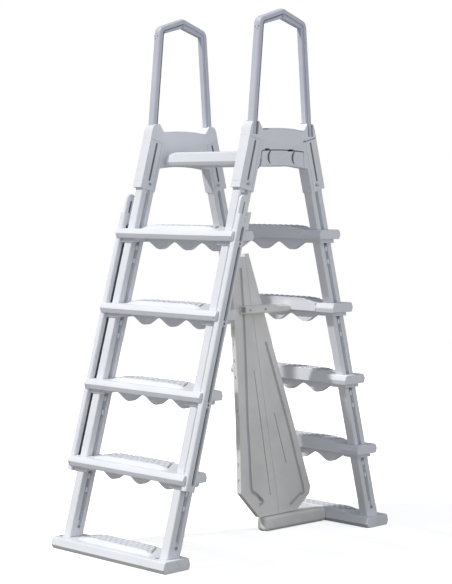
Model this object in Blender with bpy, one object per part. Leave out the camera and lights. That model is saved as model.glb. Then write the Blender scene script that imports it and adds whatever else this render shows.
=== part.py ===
"""Two-sided pool ladder with a sliding outer step section and a barrier panel.

Front (outside) ladder toward -Y, pool side toward +Y, up is +Z, metres.
"""
import bpy
import bmesh
import math
from mathutils import Vector

# ---- overall driving dimensions -------------------------------------------------
RISE = 0.264                 # vertical step between treads
TREAD_RIDGE_LOW = 0.294      # height of the lowest tread's nose ridge
TREADS = 4
LEAN_TAN = 0.2758            # rail lean, run over rise
FOOT_Y = 0.52435             # rail centre line at floor height
GAP = 0.0004                 # gap kept between pieces that touch

RAIL_X = 0.242               # rail centre to the middle of the ladder
RAIL_W = 0.036
RAIL_D = 0.0587
RAIL_TOP_T = 1.458           # rail length measured along the lean
RAIL_FOOT_Z = 0.0162
GROOVE_W = 0.020
GROOVE_DEPTH = 0.005
GROOVE_T = (0.075, 1.300)

BASE_HALF_X = 0.2815
BASE_HALF_Y = 0.0635
BASE_Y = 0.5187
BASE_H = 0.0390
BASE_RIDGE_Z = 0.0140
SPIGOT_W = 0.018
SPIGOT_D = 0.030
SPIGOT_T = 0.100

TREAD_HALF_X = 0.288
TREAD_OUT = 0.0604           # rail centre line to the outward nose ridge
TREAD_IN = 0.0546            # rail centre line to the inward nose ridge
TREAD_HALF_H = 0.017
PLATEAU_RISE = 0.014         # raised grip area above the nose
PLATEAU_X = (0.165, 0.190)   # top and foot of its sloping ends
WAVE_PITCH = 0.1365
WAVE_MID = 0.0420            # middle of the wavy lower edge, below the nose ridge
WAVE_AMP = 0.0140
WAVE_DEPTH = (0.0775, 0.0966)  # measured from the outward nose ridge
WAVE_HALF_X = 0.2045
SOCKET_DROP = 0.031          # rail sockets under the tread, below the nose ridge
SOCKET_X = (0.2050, 0.2705)
SOCKET_V = (-0.0390, 0.0335)
SLIDE_CLEAR = 0.0015

SLIDE_X = (0.2746, 0.2969)
SLIDE_V = (0.0003, 0.0438)
SLIDE_T = (0.2600, 1.1930)
SLIDE_GROOVE_V = 0.0165
SLIDE_GROOVE_W = 0.013
PEG_R = 0.0045
PEG_LEN = 0.007
TONGUE_X = (0.2765, 0.2865)
TONGUE_T = 1.2640
SLOT_T = (1.1935, 1.2400)
SLOT_V = 0.0225
SLOT_W = 0.0075
HOUSING_V = -0.0090          # rear face of the latch housing
HOUSING_Z = (1.1060, 1.1660)
BAND_DROP = (0.020, 0.034)   # bands below each tread ridge that break the side groove

CASING_HALF_W = 0.0215
CASING_X = 0.2440
CASING_V = (-0.0313, 0.0400)
CASING_T = (1.2875, 1.4703)
CASING_SLOT_Z = (1.274, 1.412)
CASING_SLOT_V = 0.006
CASING_SLOT_W = 0.0065
CASING_SLOT_DEPTH = 0.0012

SADDLE_X = (0.2225, 0.2655)
RECESS_DEPTH = 0.0035
RECESS_TOP_Z = 1.380
MOON_Y = (-0.046, 0.078)
MOON_Z = 1.355
MOON_R = 0.027

PLAT_HALF_X = 0.2221
PLAT_LIP_X = 0.204
PLAT_HALF_Y = 0.115
PLAT_TOP = 1.377
PLAT_RIDGE = 1.3425
PLAT_BOTTOM = 1.327
PLAT_BOLT_Z = 1.352

POST_X = 0.2475
POST_W = 0.032
POST_T = 0.0265
CROWN_T = 0.033              # depth of the loop's section at its apex
STEP_N = (0.0170, 0.0185)    # where the section narrows on its inner side
STEP_IN = 0.003
POST_FOOT = (0.1560, 1.4320)
POST_CORNER = (0.1205, 1.8330)
POST_APEX_Z = 1.8720

BAR_X = (0.030, 0.050)       # barrier panel faces
SEAM_TOP = (0.0370, 1.0040)
SEAM_FOOT = (0.2290, 0.0550)
FOOT_TOP = 0.0520
ARM_X = (0.0504, 0.0840)
ARM_Y = (0.0090, 0.2420)
ARM_Z = (0.8000, 0.8290)

LATCH_Z = 1.140
LATCH_V = 0.0125
LATCH_H = 0.011
LATCH_X = (0.2622, 0.2985)   # released: clear of the rail, proud of the slide rail
TAB_X = (0.2785, 0.2880)     # finger tab behind the latch housing
LATCH_THROW = 0.012          # inward push that sends the tip into the rail
SLIDE_TRAVEL = 0.090         # lift of the sliding section along the lean

BOLT_R = 0.003
HEAD_R = 0.0055
HEAD_T = 0.003
FOOT_BOLT_Z = 0.072
CASING_BOLT_Z = 1.262

COS = 1.0 / math.sqrt(1.0 + LEAN_TAN ** 2)
SIN = LEAN_TAN * COS

COLOURS = {
    "resin": ((0.86, 0.88, 0.92, 1.0), 0.45, 0.0),
    "panel": ((0.82, 0.83, 0.85, 1.0), 0.50, 0.0),
    "steel": ((0.60, 0.61, 0.63, 1.0), 0.35, 1.0),
}


# ---- mesh helpers ---------------------------------------------------------------
def clear_scene():
    for obj in list(bpy.data.objects):
        bpy.data.objects.remove(obj, do_unlink=True)


def finish(name, bm, kind, origin=(0.0, 0.0, 0.0), carrier=None):
    """Turn a bmesh in world coordinates into a named object with its own origin."""
    bmesh.ops.recalc_face_normals(bm, faces=bm.faces)
    shift = Vector(origin)
    for vert in bm.verts:
        vert.co -= shift
    mesh = bpy.data.meshes.new(name)
    bm.to_mesh(mesh)
    bm.free()
    obj = bpy.data.objects.new(name, mesh)
    bpy.context.scene.collection.objects.link(obj)
    obj.location = shift
    if carrier:
        obj.parent = carrier
        obj.location = shift - carrier.location
    if kind:
        colour, rough, metal = COLOURS[kind]
        mat = bpy.data.materials.new(name + "_mat")
        mat.use_nodes = True
        shader = mat.node_tree.nodes["Principled BSDF"]
        shader.inputs["Base Color"].default_value = colour
        shader.inputs["Roughness"].default_value = rough
        shader.inputs["Metallic"].default_value = metal
        mesh.materials.append(mat)
        mesh.shade_smooth()
        mesh.set_sharp_from_angle(angle=math.radians(35.0))
    return obj


def skin(bm, rings):
    """Join a list of equal rings of points into a closed solid."""
    loops = [[bm.verts.new(p) for p in ring] for ring in rings]
    count = len(loops[0])
    for low, high in zip(loops, loops[1:]):
        for i in range(count):
            j = (i + 1) % count
            bm.faces.new((low[i], low[j], high[j], high[i]))
    bm.faces.new(list(reversed(loops[0])))
    bm.faces.new(loops[-1])


def extrude_x(bm, outline, x_low, x_high):
    """Solid from an outline of (y, z) points between two x planes."""
    skin(bm, [[(x, y, z) for y, z in outline] for x in (x_low, x_high)])


def extrude_y(bm, outline, y_low, y_high):
    skin(bm, [[(x, y, z) for x, z in outline] for y in (y_low, y_high)])


def box(bm, low, high):
    outline = [(low[1], low[2]), (high[1], low[2]), (high[1], high[2]), (low[1], high[2])]
    extrude_x(bm, outline, low[0], high[0])


def rod_x(bm, x_low, x_high, y, z, radius, sides=12):
    ring = []
    for k in range(sides):
        a = 2.0 * math.pi * (k + 0.5) / sides
        ring.append((y + radius * math.cos(a), z + radius * math.sin(a)))
    extrude_x(bm, ring, x_low, x_high)


def offset_outline(outline, inset):
    """Move every corner of a convex counter-clockwise outline inward."""
    out = []
    count = len(outline)
    for i in range(count):
        before = Vector(outline[i - 1])
        here = Vector(outline[i])
        after = Vector(outline[(i + 1) % count])
        d1 = (here - before).normalized()
        d2 = (after - here).normalized()
        n1 = Vector((-d1.y, d1.x))
        n2 = Vector((-d2.y, d2.x))
        mid = (n1 + n2).normalized()
        out.append(tuple(here + mid * (inset / max(0.3, mid.dot(n1)))))
    return out


def strip(path, width):
    """Closed outline of a groove that follows a path of 2-D points."""
    left = []
    right = []
    for i, point in enumerate(path):
        here = Vector(point)
        back = here - Vector(path[i - 1]) if i else Vector(path[1]) - here
        ahead = Vector(path[i + 1]) - here if i + 1 < len(path) else back
        n1 = Vector((-back.y, back.x)).normalized()
        n2 = Vector((-ahead.y, ahead.x)).normalized()
        mid = (n1 + n2).normalized()
        reach = 0.5 * width / max(0.4, mid.dot(n1))
        left.append(tuple(here + mid * reach))
        right.append(tuple(here - mid * reach))
    return left + list(reversed(right))


def combine(obj, other_bm, name, how):
    """Apply a Boolean cutter or addition held in its own hidden object."""
    tool = finish(name, other_bm, None)
    tool.hide_render = True
    tool.display_type = "WIRE"
    mod = obj.modifiers.new(name, "BOOLEAN")
    mod.operation = how
    mod.solver = "EXACT"
    mod.use_self = True
    mod.object = tool


def cut(obj, bm, name):
    combine(obj, bm, name, "DIFFERENCE")


def join(obj, bm, name):
    combine(obj, bm, name, "UNION")


# ---- the leaning frame ----------------------------------------------------------
def lean(x, v, t, end):
    """Point beside a rail: v outward from its centre line, t along it.

    end is -1 for the front ladder and +1 for the rear one.
    """
    y = -FOOT_Y + t * SIN - v * COS
    z = t * COS + v * SIN
    return (x, -end * y, z)


def t_at(z, v):
    return (z - v * SIN) / COS


def lean_bar(bm, section, end, t_low=None, t_high=None, z_low=None, z_high=None):
    """Bar along the lean from an (x, v) section; ends cut square or level."""
    rings = []
    for t, z in ((t_low, z_low), (t_high, z_high)):
        rings.append([lean(x, v, t_at(z, v) if z is not None else t, end) for x, v in section])
    skin(bm, rings)


def rect(x_low, x_high, v_low, v_high):
    return [(x_low, v_low), (x_high, v_low), (x_high, v_high), (x_low, v_high)]


def chamfered(x_low, x_high, v_low, v_high, c):
    return [
        (x_low + c, v_low), (x_high - c, v_low), (x_high, v_low + c), (x_high, v_high - c),
        (x_high - c, v_high), (x_low + c, v_high), (x_low, v_high - c), (x_low, v_low + c),
    ]


def mid_line(z, end):
    """y of the rail centre line at height z."""
    return end * (FOOT_Y - LEAN_TAN * z)


def side_span(side, low, high):
    return (low, high) if side > 0 else (-high, -low)


# ---- rails, sleeves and bases ---------------------------------------------------
def make_rail(name, side, end):
    x_low, x_high = side_span(side, RAIL_X - RAIL_W / 2, RAIL_X + RAIL_W / 2)
    half = RAIL_D / 2
    bm = bmesh.new()
    lean_bar(bm, chamfered(x_low, x_high, -half, half, 0.003), end, z_low=RAIL_FOOT_Z,
             t_high=RAIL_TOP_T)
    rail = finish(name, bm, "resin")
    cutters = bmesh.new()
    t_low, t_high = GROOVE_T
    g = GROOVE_W / 2
    tip = 0.022
    outline = [(-g, t_low + tip), (0.0, t_low), (g, t_low + tip), (g, t_high - tip),
               (0.0, t_high), (-g, t_high - tip)]
    for a, b in ((x_low - 0.01, x_low + GROOVE_DEPTH), (x_high - GROOVE_DEPTH, x_high + 0.01)):
        skin(cutters, [[lean(x, v, t, end) for v, t in outline] for x in (a, b)])
    section = rect(side * RAIL_X - SPIGOT_W / 2 - GAP, side * RAIL_X + SPIGOT_W / 2 + GAP,
                   -SPIGOT_D / 2 - GAP, SPIGOT_D / 2 + GAP)
    lean_bar(cutters, section, end, t_low=-0.02, t_high=SPIGOT_T + 0.001)
    cut(rail, cutters, name + "_grooves")
    holes = bmesh.new()
    x_far = RAIL_X + 0.03
    for z in [FOOT_BOLT_Z, CASING_BOLT_Z] + pin_heights(end):
        a, b = side_span(side, RAIL_X - 0.03, x_far)
        rod_x(holes, a, b, mid_line(z, end), z, BOLT_R + GAP)
    if end < 0:
        a, b = side_span(side, LATCH_X[0] - LATCH_THROW - 0.003, x_far)
        h = LATCH_H / 2 + 0.0006
        for lift in (0.0, SLIDE_TRAVEL):
            y, z = latch_spot(lift)
            box(holes, (a, y - h, z - h), (b, y + h, z + h))
    cut(rail, holes, name + "_holes")
    return rail


def pin_heights(end):
    """Heights of the cross pins that carry treads on this ladder."""
    ridges = [TREAD_RIDGE_LOW + k * RISE for k in range(TREADS)]
    drop = SOCKET_DROP + BOLT_R + GAP
    return [z - drop for z in ridges] if end > 0 else [ridges[0] - drop]


def latch_spot(lift=0.0):
    """(y, z) of the latch with the sliding section raised by lift."""
    point = lean(0.0, LATCH_V, t_at(LATCH_Z, LATCH_V) + lift, -1)
    return point[1], point[2]


def make_casing(name, side, end):
    x_low, x_high = side_span(side, CASING_X - CASING_HALF_W, CASING_X + CASING_HALF_W)
    bm = bmesh.new()
    lean_bar(bm, chamfered(x_low, x_high, CASING_V[0], CASING_V[1], 0.003), end,
             t_low=CASING_T[0], t_high=CASING_T[1])
    casing = finish(name, bm, "resin")
    bore = bmesh.new()
    half = RAIL_D / 2 + GAP
    a, b = side_span(side, RAIL_X - RAIL_W / 2 - GAP, RAIL_X + RAIL_W / 2 + GAP)
    lean_bar(bore, rect(a, b, -half, half), end, t_low=CASING_T[0] - 0.02, t_high=RAIL_TOP_T + GAP)
    cut(casing, bore, name + "_bore")
    slot = bmesh.new()
    v = CASING_SLOT_V
    for a, b in ((x_low - 0.01, x_low + CASING_SLOT_DEPTH),
                 (x_high - CASING_SLOT_DEPTH, x_high + 0.01)):
        lean_bar(slot, rect(a, b, v - CASING_SLOT_W / 2, v + CASING_SLOT_W / 2), end,
                 t_low=t_at(CASING_SLOT_Z[0], v), t_high=t_at(CASING_SLOT_Z[1], v))
    a, b = side_span(side, CASING_X - 0.05, CASING_X + 0.05)
    z = CASING_BOLT_Z
    rod_x(slot, a, b, mid_line(z, end), z, BOLT_R + GAP)
    cut(casing, slot, name + "_slot")
    return casing


def base_profile(end):
    h = BASE_HALF_Y
    points = [(-h + 0.008, 0.0), (h - 0.008, 0.0), (h, BASE_RIDGE_Z), (h - 0.007, BASE_H - 0.003),
              (h - 0.011, BASE_H), (-h + 0.011, BASE_H), (-h + 0.007, BASE_H - 0.003),
              (-h, BASE_RIDGE_Z)]
    return [(end * BASE_Y + y, z) for y, z in points]


def make_base(name, end):
    bm = bmesh.new()
    outline = base_profile(end)
    centre = end * BASE_Y
    rings = []
    for x, shrink in ((-BASE_HALF_X, 0.965), (-BASE_HALF_X + 0.004, 1.0),
                      (BASE_HALF_X - 0.004, 1.0), (BASE_HALF_X, 0.965)):
        rings.append([(x, centre + (y - centre) * shrink, z) for y, z in outline])
    skin(bm, rings)
    base = finish(name, bm, "resin")
    block = bmesh.new()
    rings = []
    for x, high in plateau_stations():
        top = BASE_H + (PLATEAU_RISE if high else -0.0005)
        rings.append([(x, centre + end * y, z) for y, z in (
            (0.012, 0.020), (-BASE_HALF_Y + 0.006, 0.020), (-BASE_HALF_Y + 0.006, top - 0.002),
            (-BASE_HALF_Y + 0.009, top), (0.017, top), (0.027, BASE_H - 0.0005))])
    skin(block, rings)
    join(base, block, name + "_plateau")
    cutters = bmesh.new()
    for side in (-1, 1):
        half = RAIL_D / 2 + 0.001
        a, b = side_span(side, RAIL_X - RAIL_W / 2 - GAP, RAIL_X + RAIL_W / 2 + GAP)
        lean_bar(cutters, rect(a, b, -half, half), end, z_low=RAIL_FOOT_Z - GAP, z_high=0.06)
    cut(base, cutters, name + "_pockets")
    spigots = bmesh.new()
    for side in (-1, 1):
        section = rect(side * RAIL_X - SPIGOT_W / 2, side * RAIL_X + SPIGOT_W / 2,
                       -SPIGOT_D / 2, SPIGOT_D / 2)
        lean_bar(spigots, section, end, z_low=0.010, t_high=SPIGOT_T)
    join(base, spigots, name + "_spigots")
    holes = bmesh.new()
    for side in (-1, 1):
        a, b = side_span(side, RAIL_X - 0.04, RAIL_X + 0.04)
        rod_x(holes, a, b, mid_line(FOOT_BOLT_Z, end), FOOT_BOLT_Z, BOLT_R + GAP)
        a, b = side_span(side, BASE_HALF_X - 0.008, BASE_HALF_X + 0.02)
        rod_x(holes, a, b, centre, 0.0195, 0.0105, 16)
    cut(base, holes, name + "_holes")
    return base


# ---- treads ---------------------------------------------------------------------
def tread_profile(y_out, y_in, z):
    """Nosed plank profile; y_out is the outward nose, y_in the inward one."""
    d = 1.0 if y_in > y_out else -1.0
    h = TREAD_HALF_H
    return [
        (y_out, z), (y_out + d * 0.0045, z - h), (y_in - d * 0.0045, z - h), (y_in, z),
        (y_in - d * 0.006, z + h - 0.003), (y_in - d * 0.011, z + h),
        (y_out + d * 0.011, z + h), (y_out + d * 0.006, z + h - 0.003),
    ]


def plateau_stations():
    """(x, raised) stations of the grip area from one sloping end to the other."""
    low, high = PLATEAU_X
    return ((-WAVE_HALF_X, False), (-high, False), (-low, True), (low, True), (high, False),
            (WAVE_HALF_X, False))


def plateau_section(y_out, y_in, top):
    """(depth, height) outline of the grip block; top is None where it stays in the plank."""
    wall = abs(y_in - y_out) + GAP
    low = TREAD_HALF_H - 0.0005
    if top is None:
        top = low
    return [(0.040, -0.008), (wall - 0.004, -0.0155), (wall, -0.0155), (wall, top - 0.002),
            (wall - 0.003, top), (0.038, top), (0.028, low)]


def wave_outline(z):
    """(x, z) outline of the hanging apron with its wavy lower edge."""
    out = [(-WAVE_HALF_X, z - TREAD_HALF_H + 0.003)]
    steps = 36
    for i in range(steps + 1):
        x = -WAVE_HALF_X + 2.0 * WAVE_HALF_X * i / steps
        drop = WAVE_MID + WAVE_AMP * math.cos(2.0 * math.pi * x / WAVE_PITCH)
        out.append((x, z - drop))
    out.append((WAVE_HALF_X, z - TREAD_HALF_H + 0.003))
    return out


def make_tread(name, z, end, carrier=None):
    middle = mid_line(z, end)
    y_out = middle + end * TREAD_OUT
    y_in = middle - end * TREAD_IN
    centre = (y_out + y_in) / 2
    outline = tread_profile(y_out, y_in, z)
    rings = []
    for x, shrink in ((-TREAD_HALF_X, 0.965), (-TREAD_HALF_X + 0.003, 1.0),
                      (TREAD_HALF_X - 0.003, 1.0), (TREAD_HALF_X, 0.965)):
        rings.append([(x, centre + (y - centre) * shrink, zz) for y, zz in outline])
    bm = bmesh.new()
    skin(bm, rings)
    tread = finish(name, bm, "resin", (0.0, middle, z), carrier)
    block = bmesh.new()
    rings = []
    top = TREAD_HALF_H + PLATEAU_RISE
    for x, high in plateau_stations():
        rings.append([(x, y_out - end * depth, z + height)
                      for depth, height in plateau_section(y_out, y_in, top if high else None)])
    skin(block, rings)
    join(tread, block, name + "_plateau")
    wave = bmesh.new()
    y_a, y_b = sorted((y_out - end * WAVE_DEPTH[0], y_out - end * WAVE_DEPTH[1]))
    extrude_y(wave, wave_outline(z), y_a, y_b)
    for side in (-1, 1):
        a, b = side_span(side, *SOCKET_X)
        lean_bar(wave, rect(a, b, *SOCKET_V), end, z_low=z - SOCKET_DROP,
                 z_high=z - TREAD_HALF_H + 0.003)
    join(tread, wave, name + "_wave")
    cutters = bmesh.new()
    clear = SLIDE_CLEAR if end < 0 else GAP
    for side in (-1, 1):
        a, b = side_span(side, RAIL_X - RAIL_W / 2 - clear, RAIL_X + RAIL_W / 2 + clear)
        half = RAIL_D / 2 + clear
        lean_bar(cutters, rect(a, b, -half, half), end, z_low=z - 0.06, z_high=z + 0.06)
        if end < 0:
            a, b = side_span(side, SLIDE_X[0] - GAP, SLIDE_X[1] + 0.02)
            section = rect(a, b, SLIDE_V[0] - GAP, SLIDE_V[1] + GAP)
            lean_bar(cutters, section, end, z_low=z - 0.06, z_high=z + 0.06)
            a, b = side_span(side, SLIDE_X[0] - PEG_LEN - 0.001, SLIDE_X[1])
            rod_x(cutters, a, b, peg_y(z), z, PEG_R + GAP, 10)
    cut(tread, cutters, name + "_holes")
    return tread


def peg_y(z):
    """y of the slide rail's locating peg at height z."""
    v = SLIDE_GROOVE_V
    return lean(0.0, v, t_at(z, v), -1)[1]


# ---- sliding section ------------------------------------------------------------
def make_slide_rail(name, side, carrier):
    x_low, x_high = side_span(side, *SLIDE_X)
    bm = bmesh.new()
    lean_bar(bm, chamfered(x_low, x_high, SLIDE_V[0], SLIDE_V[1], 0.002), -1,
             t_low=SLIDE_T[0], t_high=SLIDE_T[1])
    rail = finish(name, bm, "resin", (side * SLIDE_X[0], -FOOT_Y, 0.0), carrier)
    housing = bmesh.new()
    a, b = side_span(side, SLIDE_X[0] + 0.0015, SLIDE_X[1] - 0.0006)
    lean_bar(housing, rect(a, b, HOUSING_V, SLIDE_V[0] + 0.008), -1, z_low=HOUSING_Z[0],
             z_high=HOUSING_Z[1])
    join(rail, housing, name + "_housing")
    tongue = bmesh.new()
    a, b = side_span(side, *TONGUE_X)
    v_low, v_high = SLIDE_V[0] + 0.001, SLIDE_V[1] - 0.001
    mid = (v_low + v_high) / 2
    radius = (v_high - v_low) / 2
    outline = [(v_low, SLIDE_T[1] - 0.01), (v_high, SLIDE_T[1] - 0.01)]
    for i in range(9):
        ang = math.pi * i / 8
        outline.append((mid + radius * math.cos(ang), TONGUE_T - radius + radius * math.sin(ang)))
    skin(tongue, [[lean(x, v, t, -1) for v, t in outline] for x in (a, b)])
    ridges = [TREAD_RIDGE_LOW + k * RISE for k in range(TREADS)]
    for ridge in ridges:
        a, b = side_span(side, SLIDE_X[0] - PEG_LEN, SLIDE_X[0] + 0.004)
        rod_x(tongue, a, b, peg_y(ridge), ridge, PEG_R, 10)
    join(rail, tongue, name + "_tongue")
    cutters = bmesh.new()
    outer = side * SLIDE_X[1]
    v = SLIDE_GROOVE_V
    a, b = sorted((outer - side * 0.006, outer + side * 0.01))
    for k, ridge in enumerate(ridges):
        top = ridges[k + 1] - BAND_DROP[1] if k + 1 < TREADS else 1.118
        lean_bar(cutters, rect(a, b, v - SLIDE_GROOVE_W / 2, v + SLIDE_GROOVE_W / 2), -1,
                 t_low=t_at(ridge - BAND_DROP[0], v), t_high=t_at(top, v))
    a, b = side_span(side, TONGUE_X[0] - 0.01, TONGUE_X[1] + 0.02)
    section = rect(a, b, SLOT_V - SLOT_W / 2, SLOT_V + SLOT_W / 2)
    lean_bar(cutters, section, -1, t_low=SLOT_T[0], t_high=SLOT_T[1])
    y, z = latch_spot()
    h = LATCH_H / 2 + 0.0006
    a, b = side_span(side, SLIDE_X[0] - 0.01, SLIDE_X[1] + 0.01)
    box(cutters, (a, y - h, z - h), (b, y + h, z + h))
    a, b = side_span(side, SLIDE_X[0] - 0.01, TAB_X[1] + 0.001)
    box(cutters, (a, y, z - h), (b, y + 0.05, z + h))
    cut(rail, cutters, name + "_cuts")
    return rail


def make_latch(name, side, carrier):
    y, z = latch_spot()
    h = LATCH_H / 2
    back = lean(0.0, HOUSING_V, t_at(z, HOUSING_V), -1)[1]
    bm = bmesh.new()
    a, b = side_span(side, *LATCH_X)
    outline = [(y - h, z - h), (y + h, z - h), (y + h, z + h), (y - h, z + h)]
    extrude_x(bm, outline, a, b)
    latch = finish(name, bm, "resin", (side * LATCH_X[1], y, z), carrier)
    tab = bmesh.new()
    a, b = side_span(side, *TAB_X)
    box(tab, (a, y, z - h + 0.001), (b, back + 0.004, z + h - 0.001))
    join(latch, tab, name + "_tab")
    return latch


# ---- side frames, platform and handrails ----------------------------------------
def saddle_outline():
    inner = lean(0.0, CASING_V[0] - GAP, t_at(1.319, CASING_V[0]), -1)
    corner = lean(0.0, CASING_V[0] - GAP, CASING_T[1] + GAP, -1)
    shoulder = lean(0.0, CASING_V[1], CASING_T[1] + GAP, -1)
    half = [
        (inner[1], 1.319), (corner[1], corner[2]), (shoulder[1], shoulder[2]),
        (-0.1660, 1.4530), (-0.1560, 1.4740), (-0.1270, 1.4800), (-0.1080, 1.4510),
        (-0.0500, 1.4560),
    ]
    other = [(-y, z) for y, z in reversed(half)]
    return half + [(0.0, 1.4575)] + other + [(0.06, 1.3255), (0.0, 1.3275), (-0.06, 1.3255)]


def post_line(z, inset=0.0):
    """Outer y of the front handrail post at height z, moved inward by inset."""
    slope = (POST_FOOT[0] - POST_CORNER[0]) / (POST_CORNER[1] - POST_FOOT[1])
    return -(POST_FOOT[0] - slope * (z - POST_FOOT[1])) + inset


def make_saddle(name, side):
    x_low, x_high = side_span(side, *SADDLE_X)
    bm = bmesh.new()
    extrude_x(bm, saddle_outline(), x_low, x_high)
    saddle = finish(name, bm, "resin")
    outer = side * SADDLE_X[1]
    cutters = bmesh.new()
    a, b = sorted((outer - side * RECESS_DEPTH, outer + side * 0.01))
    arch = [(-0.1120, 1.3100), (0.1120, 1.3100), (0.1075, RECESS_TOP_Z - 0.003),
            (0.035, RECESS_TOP_Z + 0.001), (0.0, RECESS_TOP_Z + 0.002),
            (-0.035, RECESS_TOP_Z + 0.001), (-0.1075, RECESS_TOP_Z - 0.003)]
    extrude_x(cutters, arch, a, b)
    for end in (-1, 1):
        a, b = side_span(side, POST_X - POST_W / 2 - GAP, SADDLE_X[1] + 0.01)
        outline = []
        for z in (POST_FOOT[1] - GAP, 1.50):
            outline.append((-end * post_line(z, -GAP), z))
        for z in (1.50, POST_FOOT[1] - GAP):
            outline.append((-end * post_line(z, POST_T + 2 * GAP), z))
        extrude_x(cutters, outline, a, b)
    cut(saddle, cutters, name + "_cuts")
    moons = bmesh.new()
    floor = outer - side * RECESS_DEPTH
    a, b = sorted((floor - side * 0.005, floor + side * 0.004))
    for y in MOON_Y:
        path = []
        for i in range(7):
            ang = math.radians(118.0 + 20.0 * i)
            path.append((y + MOON_R * math.cos(ang), MOON_Z + MOON_R * math.sin(ang)))
        extrude_x(moons, strip(path, 0.0060), a, b)
    a, b = side_span(side, SADDLE_X[0] - 0.01, SADDLE_X[1] + 0.01)
    rod_x(moons, a, b, 0.0, PLAT_BOLT_Z, BOLT_R + GAP)
    cut(saddle, moons, name + "_moons")
    return saddle


def make_platform():
    h = PLAT_HALF_Y
    outline = [(-h, PLAT_RIDGE), (-h + 0.011, PLAT_BOTTOM), (h - 0.011, PLAT_BOTTOM),
               (h, PLAT_RIDGE), (h - 0.006, PLAT_TOP - 0.003), (h - 0.012, PLAT_TOP),
               (-h + 0.012, PLAT_TOP), (-h + 0.006, PLAT_TOP - 0.003)]
    bm = bmesh.new()
    rings = []
    for x, drop in ((-PLAT_LIP_X, 0.009), (-PLAT_LIP_X + 0.040, 0.0),
                    (PLAT_LIP_X - 0.040, 0.0), (PLAT_LIP_X, 0.009)):
        rings.append([(x, y, z - drop if z > PLAT_RIDGE else z) for y, z in outline])
    skin(bm, rings)
    platform = finish("platform", bm, "resin")
    ears = bmesh.new()
    for side in (-1, 1):
        a, b = side_span(side, PLAT_LIP_X - 0.004, PLAT_HALF_X)
        box(ears, (a, -0.090, PLAT_BOTTOM + 0.003), (b, 0.090, PLAT_TOP - 0.012))
    join(platform, ears, "platform_ears")
    holes = bmesh.new()
    for side in (-1, 1):
        a, b = side_span(side, PLAT_HALF_X - 0.030, PLAT_HALF_X + 0.02)
        rod_x(holes, a, b, 0.0, PLAT_BOLT_Z, BOLT_R + GAP)
    cut(platform, holes, "platform_holes")
    return platform


def handrail_path():
    """Outer line of the loop from the front foot over the apex to the rear foot."""
    front = Vector((-POST_FOOT[0], POST_FOOT[1]))
    corner = Vector((-POST_CORNER[0], POST_CORNER[1]))
    apex = Vector((0.0, POST_APEX_Z))
    down = (front - corner).normalized()
    up = (apex - corner).normalized()
    path = [tuple(front)]
    reach = 0.020
    start = corner + down * reach
    stop = corner + up * reach
    for i in range(5):
        s = i / 4
        point = start * (1 - s) ** 2 + corner * 2 * s * (1 - s) + stop * s ** 2
        path.append(tuple(point))
    path.append((-0.010, POST_APEX_Z - 0.0032))
    rest = [(-y, z) for y, z in reversed(path)]
    return path + [(0.0, POST_APEX_Z)] + rest


def make_handrail(name, side):
    path = handrail_path()
    w = POST_W / 2
    half = [(0.007, 0.0), (0.002, 0.003), (0.0, 0.008), (0.0, STEP_N[0]), (STEP_IN, STEP_N[1]),
            (STEP_IN, None)]
    section = [(w - x, n) for x, n in half] + [(x - w, n) for x, n in reversed(half)]
    bm = bmesh.new()
    rings = []
    for i, point in enumerate(path):
        here = Vector(point)
        back = here - Vector(path[i - 1]) if i else Vector(path[1]) - here
        ahead = Vector(path[i + 1]) - here if i + 1 < len(path) else back
        n1 = Vector((-back.y, back.x)).normalized()
        n2 = Vector((-ahead.y, ahead.x)).normalized()
        mid = (n1 + n2).normalized()
        scale = 1.0 / mid.dot(n1)
        if i in (0, len(path) - 1):
            mid = Vector((-1.0 if i == 0 else 1.0, 0.0))
            scale = 1.0 / abs(mid.dot(n1))
        near_top = max(0.0, 1.0 - abs(here.x) / (POST_CORNER[0] - 0.014))
        deep = POST_T + (CROWN_T - POST_T) * min(1.0, near_top * 1.6 + 0.35 * (near_top > 0.0))
        ring = []
        for x, n in section:
            q = here - mid * ((deep if n is None else n) * scale)
            ring.append((side * (POST_X + x), q.x, q.y))
        rings.append(ring)
    skin(bm, rings)
    return finish(name, bm, "resin")


# ---- barrier --------------------------------------------------------------------
def panel_half(name, outline, paths):
    bm = bmesh.new()
    centre = [(y, z) for y, z in outline]
    inner = offset_outline(centre, 0.002)
    x0, x1 = BAR_X
    rings = [[(x0, y, z) for y, z in inner], [(x0 + 0.002, y, z) for y, z in centre],
             [(x1 - 0.002, y, z) for y, z in centre], [(x1, y, z) for y, z in inner]]
    skin(bm, rings)
    panel = finish(name, bm, "panel")
    grooves = bmesh.new()
    for path, width in paths:
        ring = strip(path, width)
        extrude_x(grooves, ring, x0 - 0.01, x0 + 0.0025)
        extrude_x(grooves, ring, x1 - 0.0025, x1 + 0.01)
    for y, z in BARRIER_SCREWS:
        rod_x(grooves, x0 + 0.004, x1 + 0.02, y, z, 0.0026, 8)
    cut(panel, grooves, name + "_grooves")
    return panel


BARRIER_SCREWS = ((0.030, 0.8145), (0.110, 0.8145))


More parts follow.
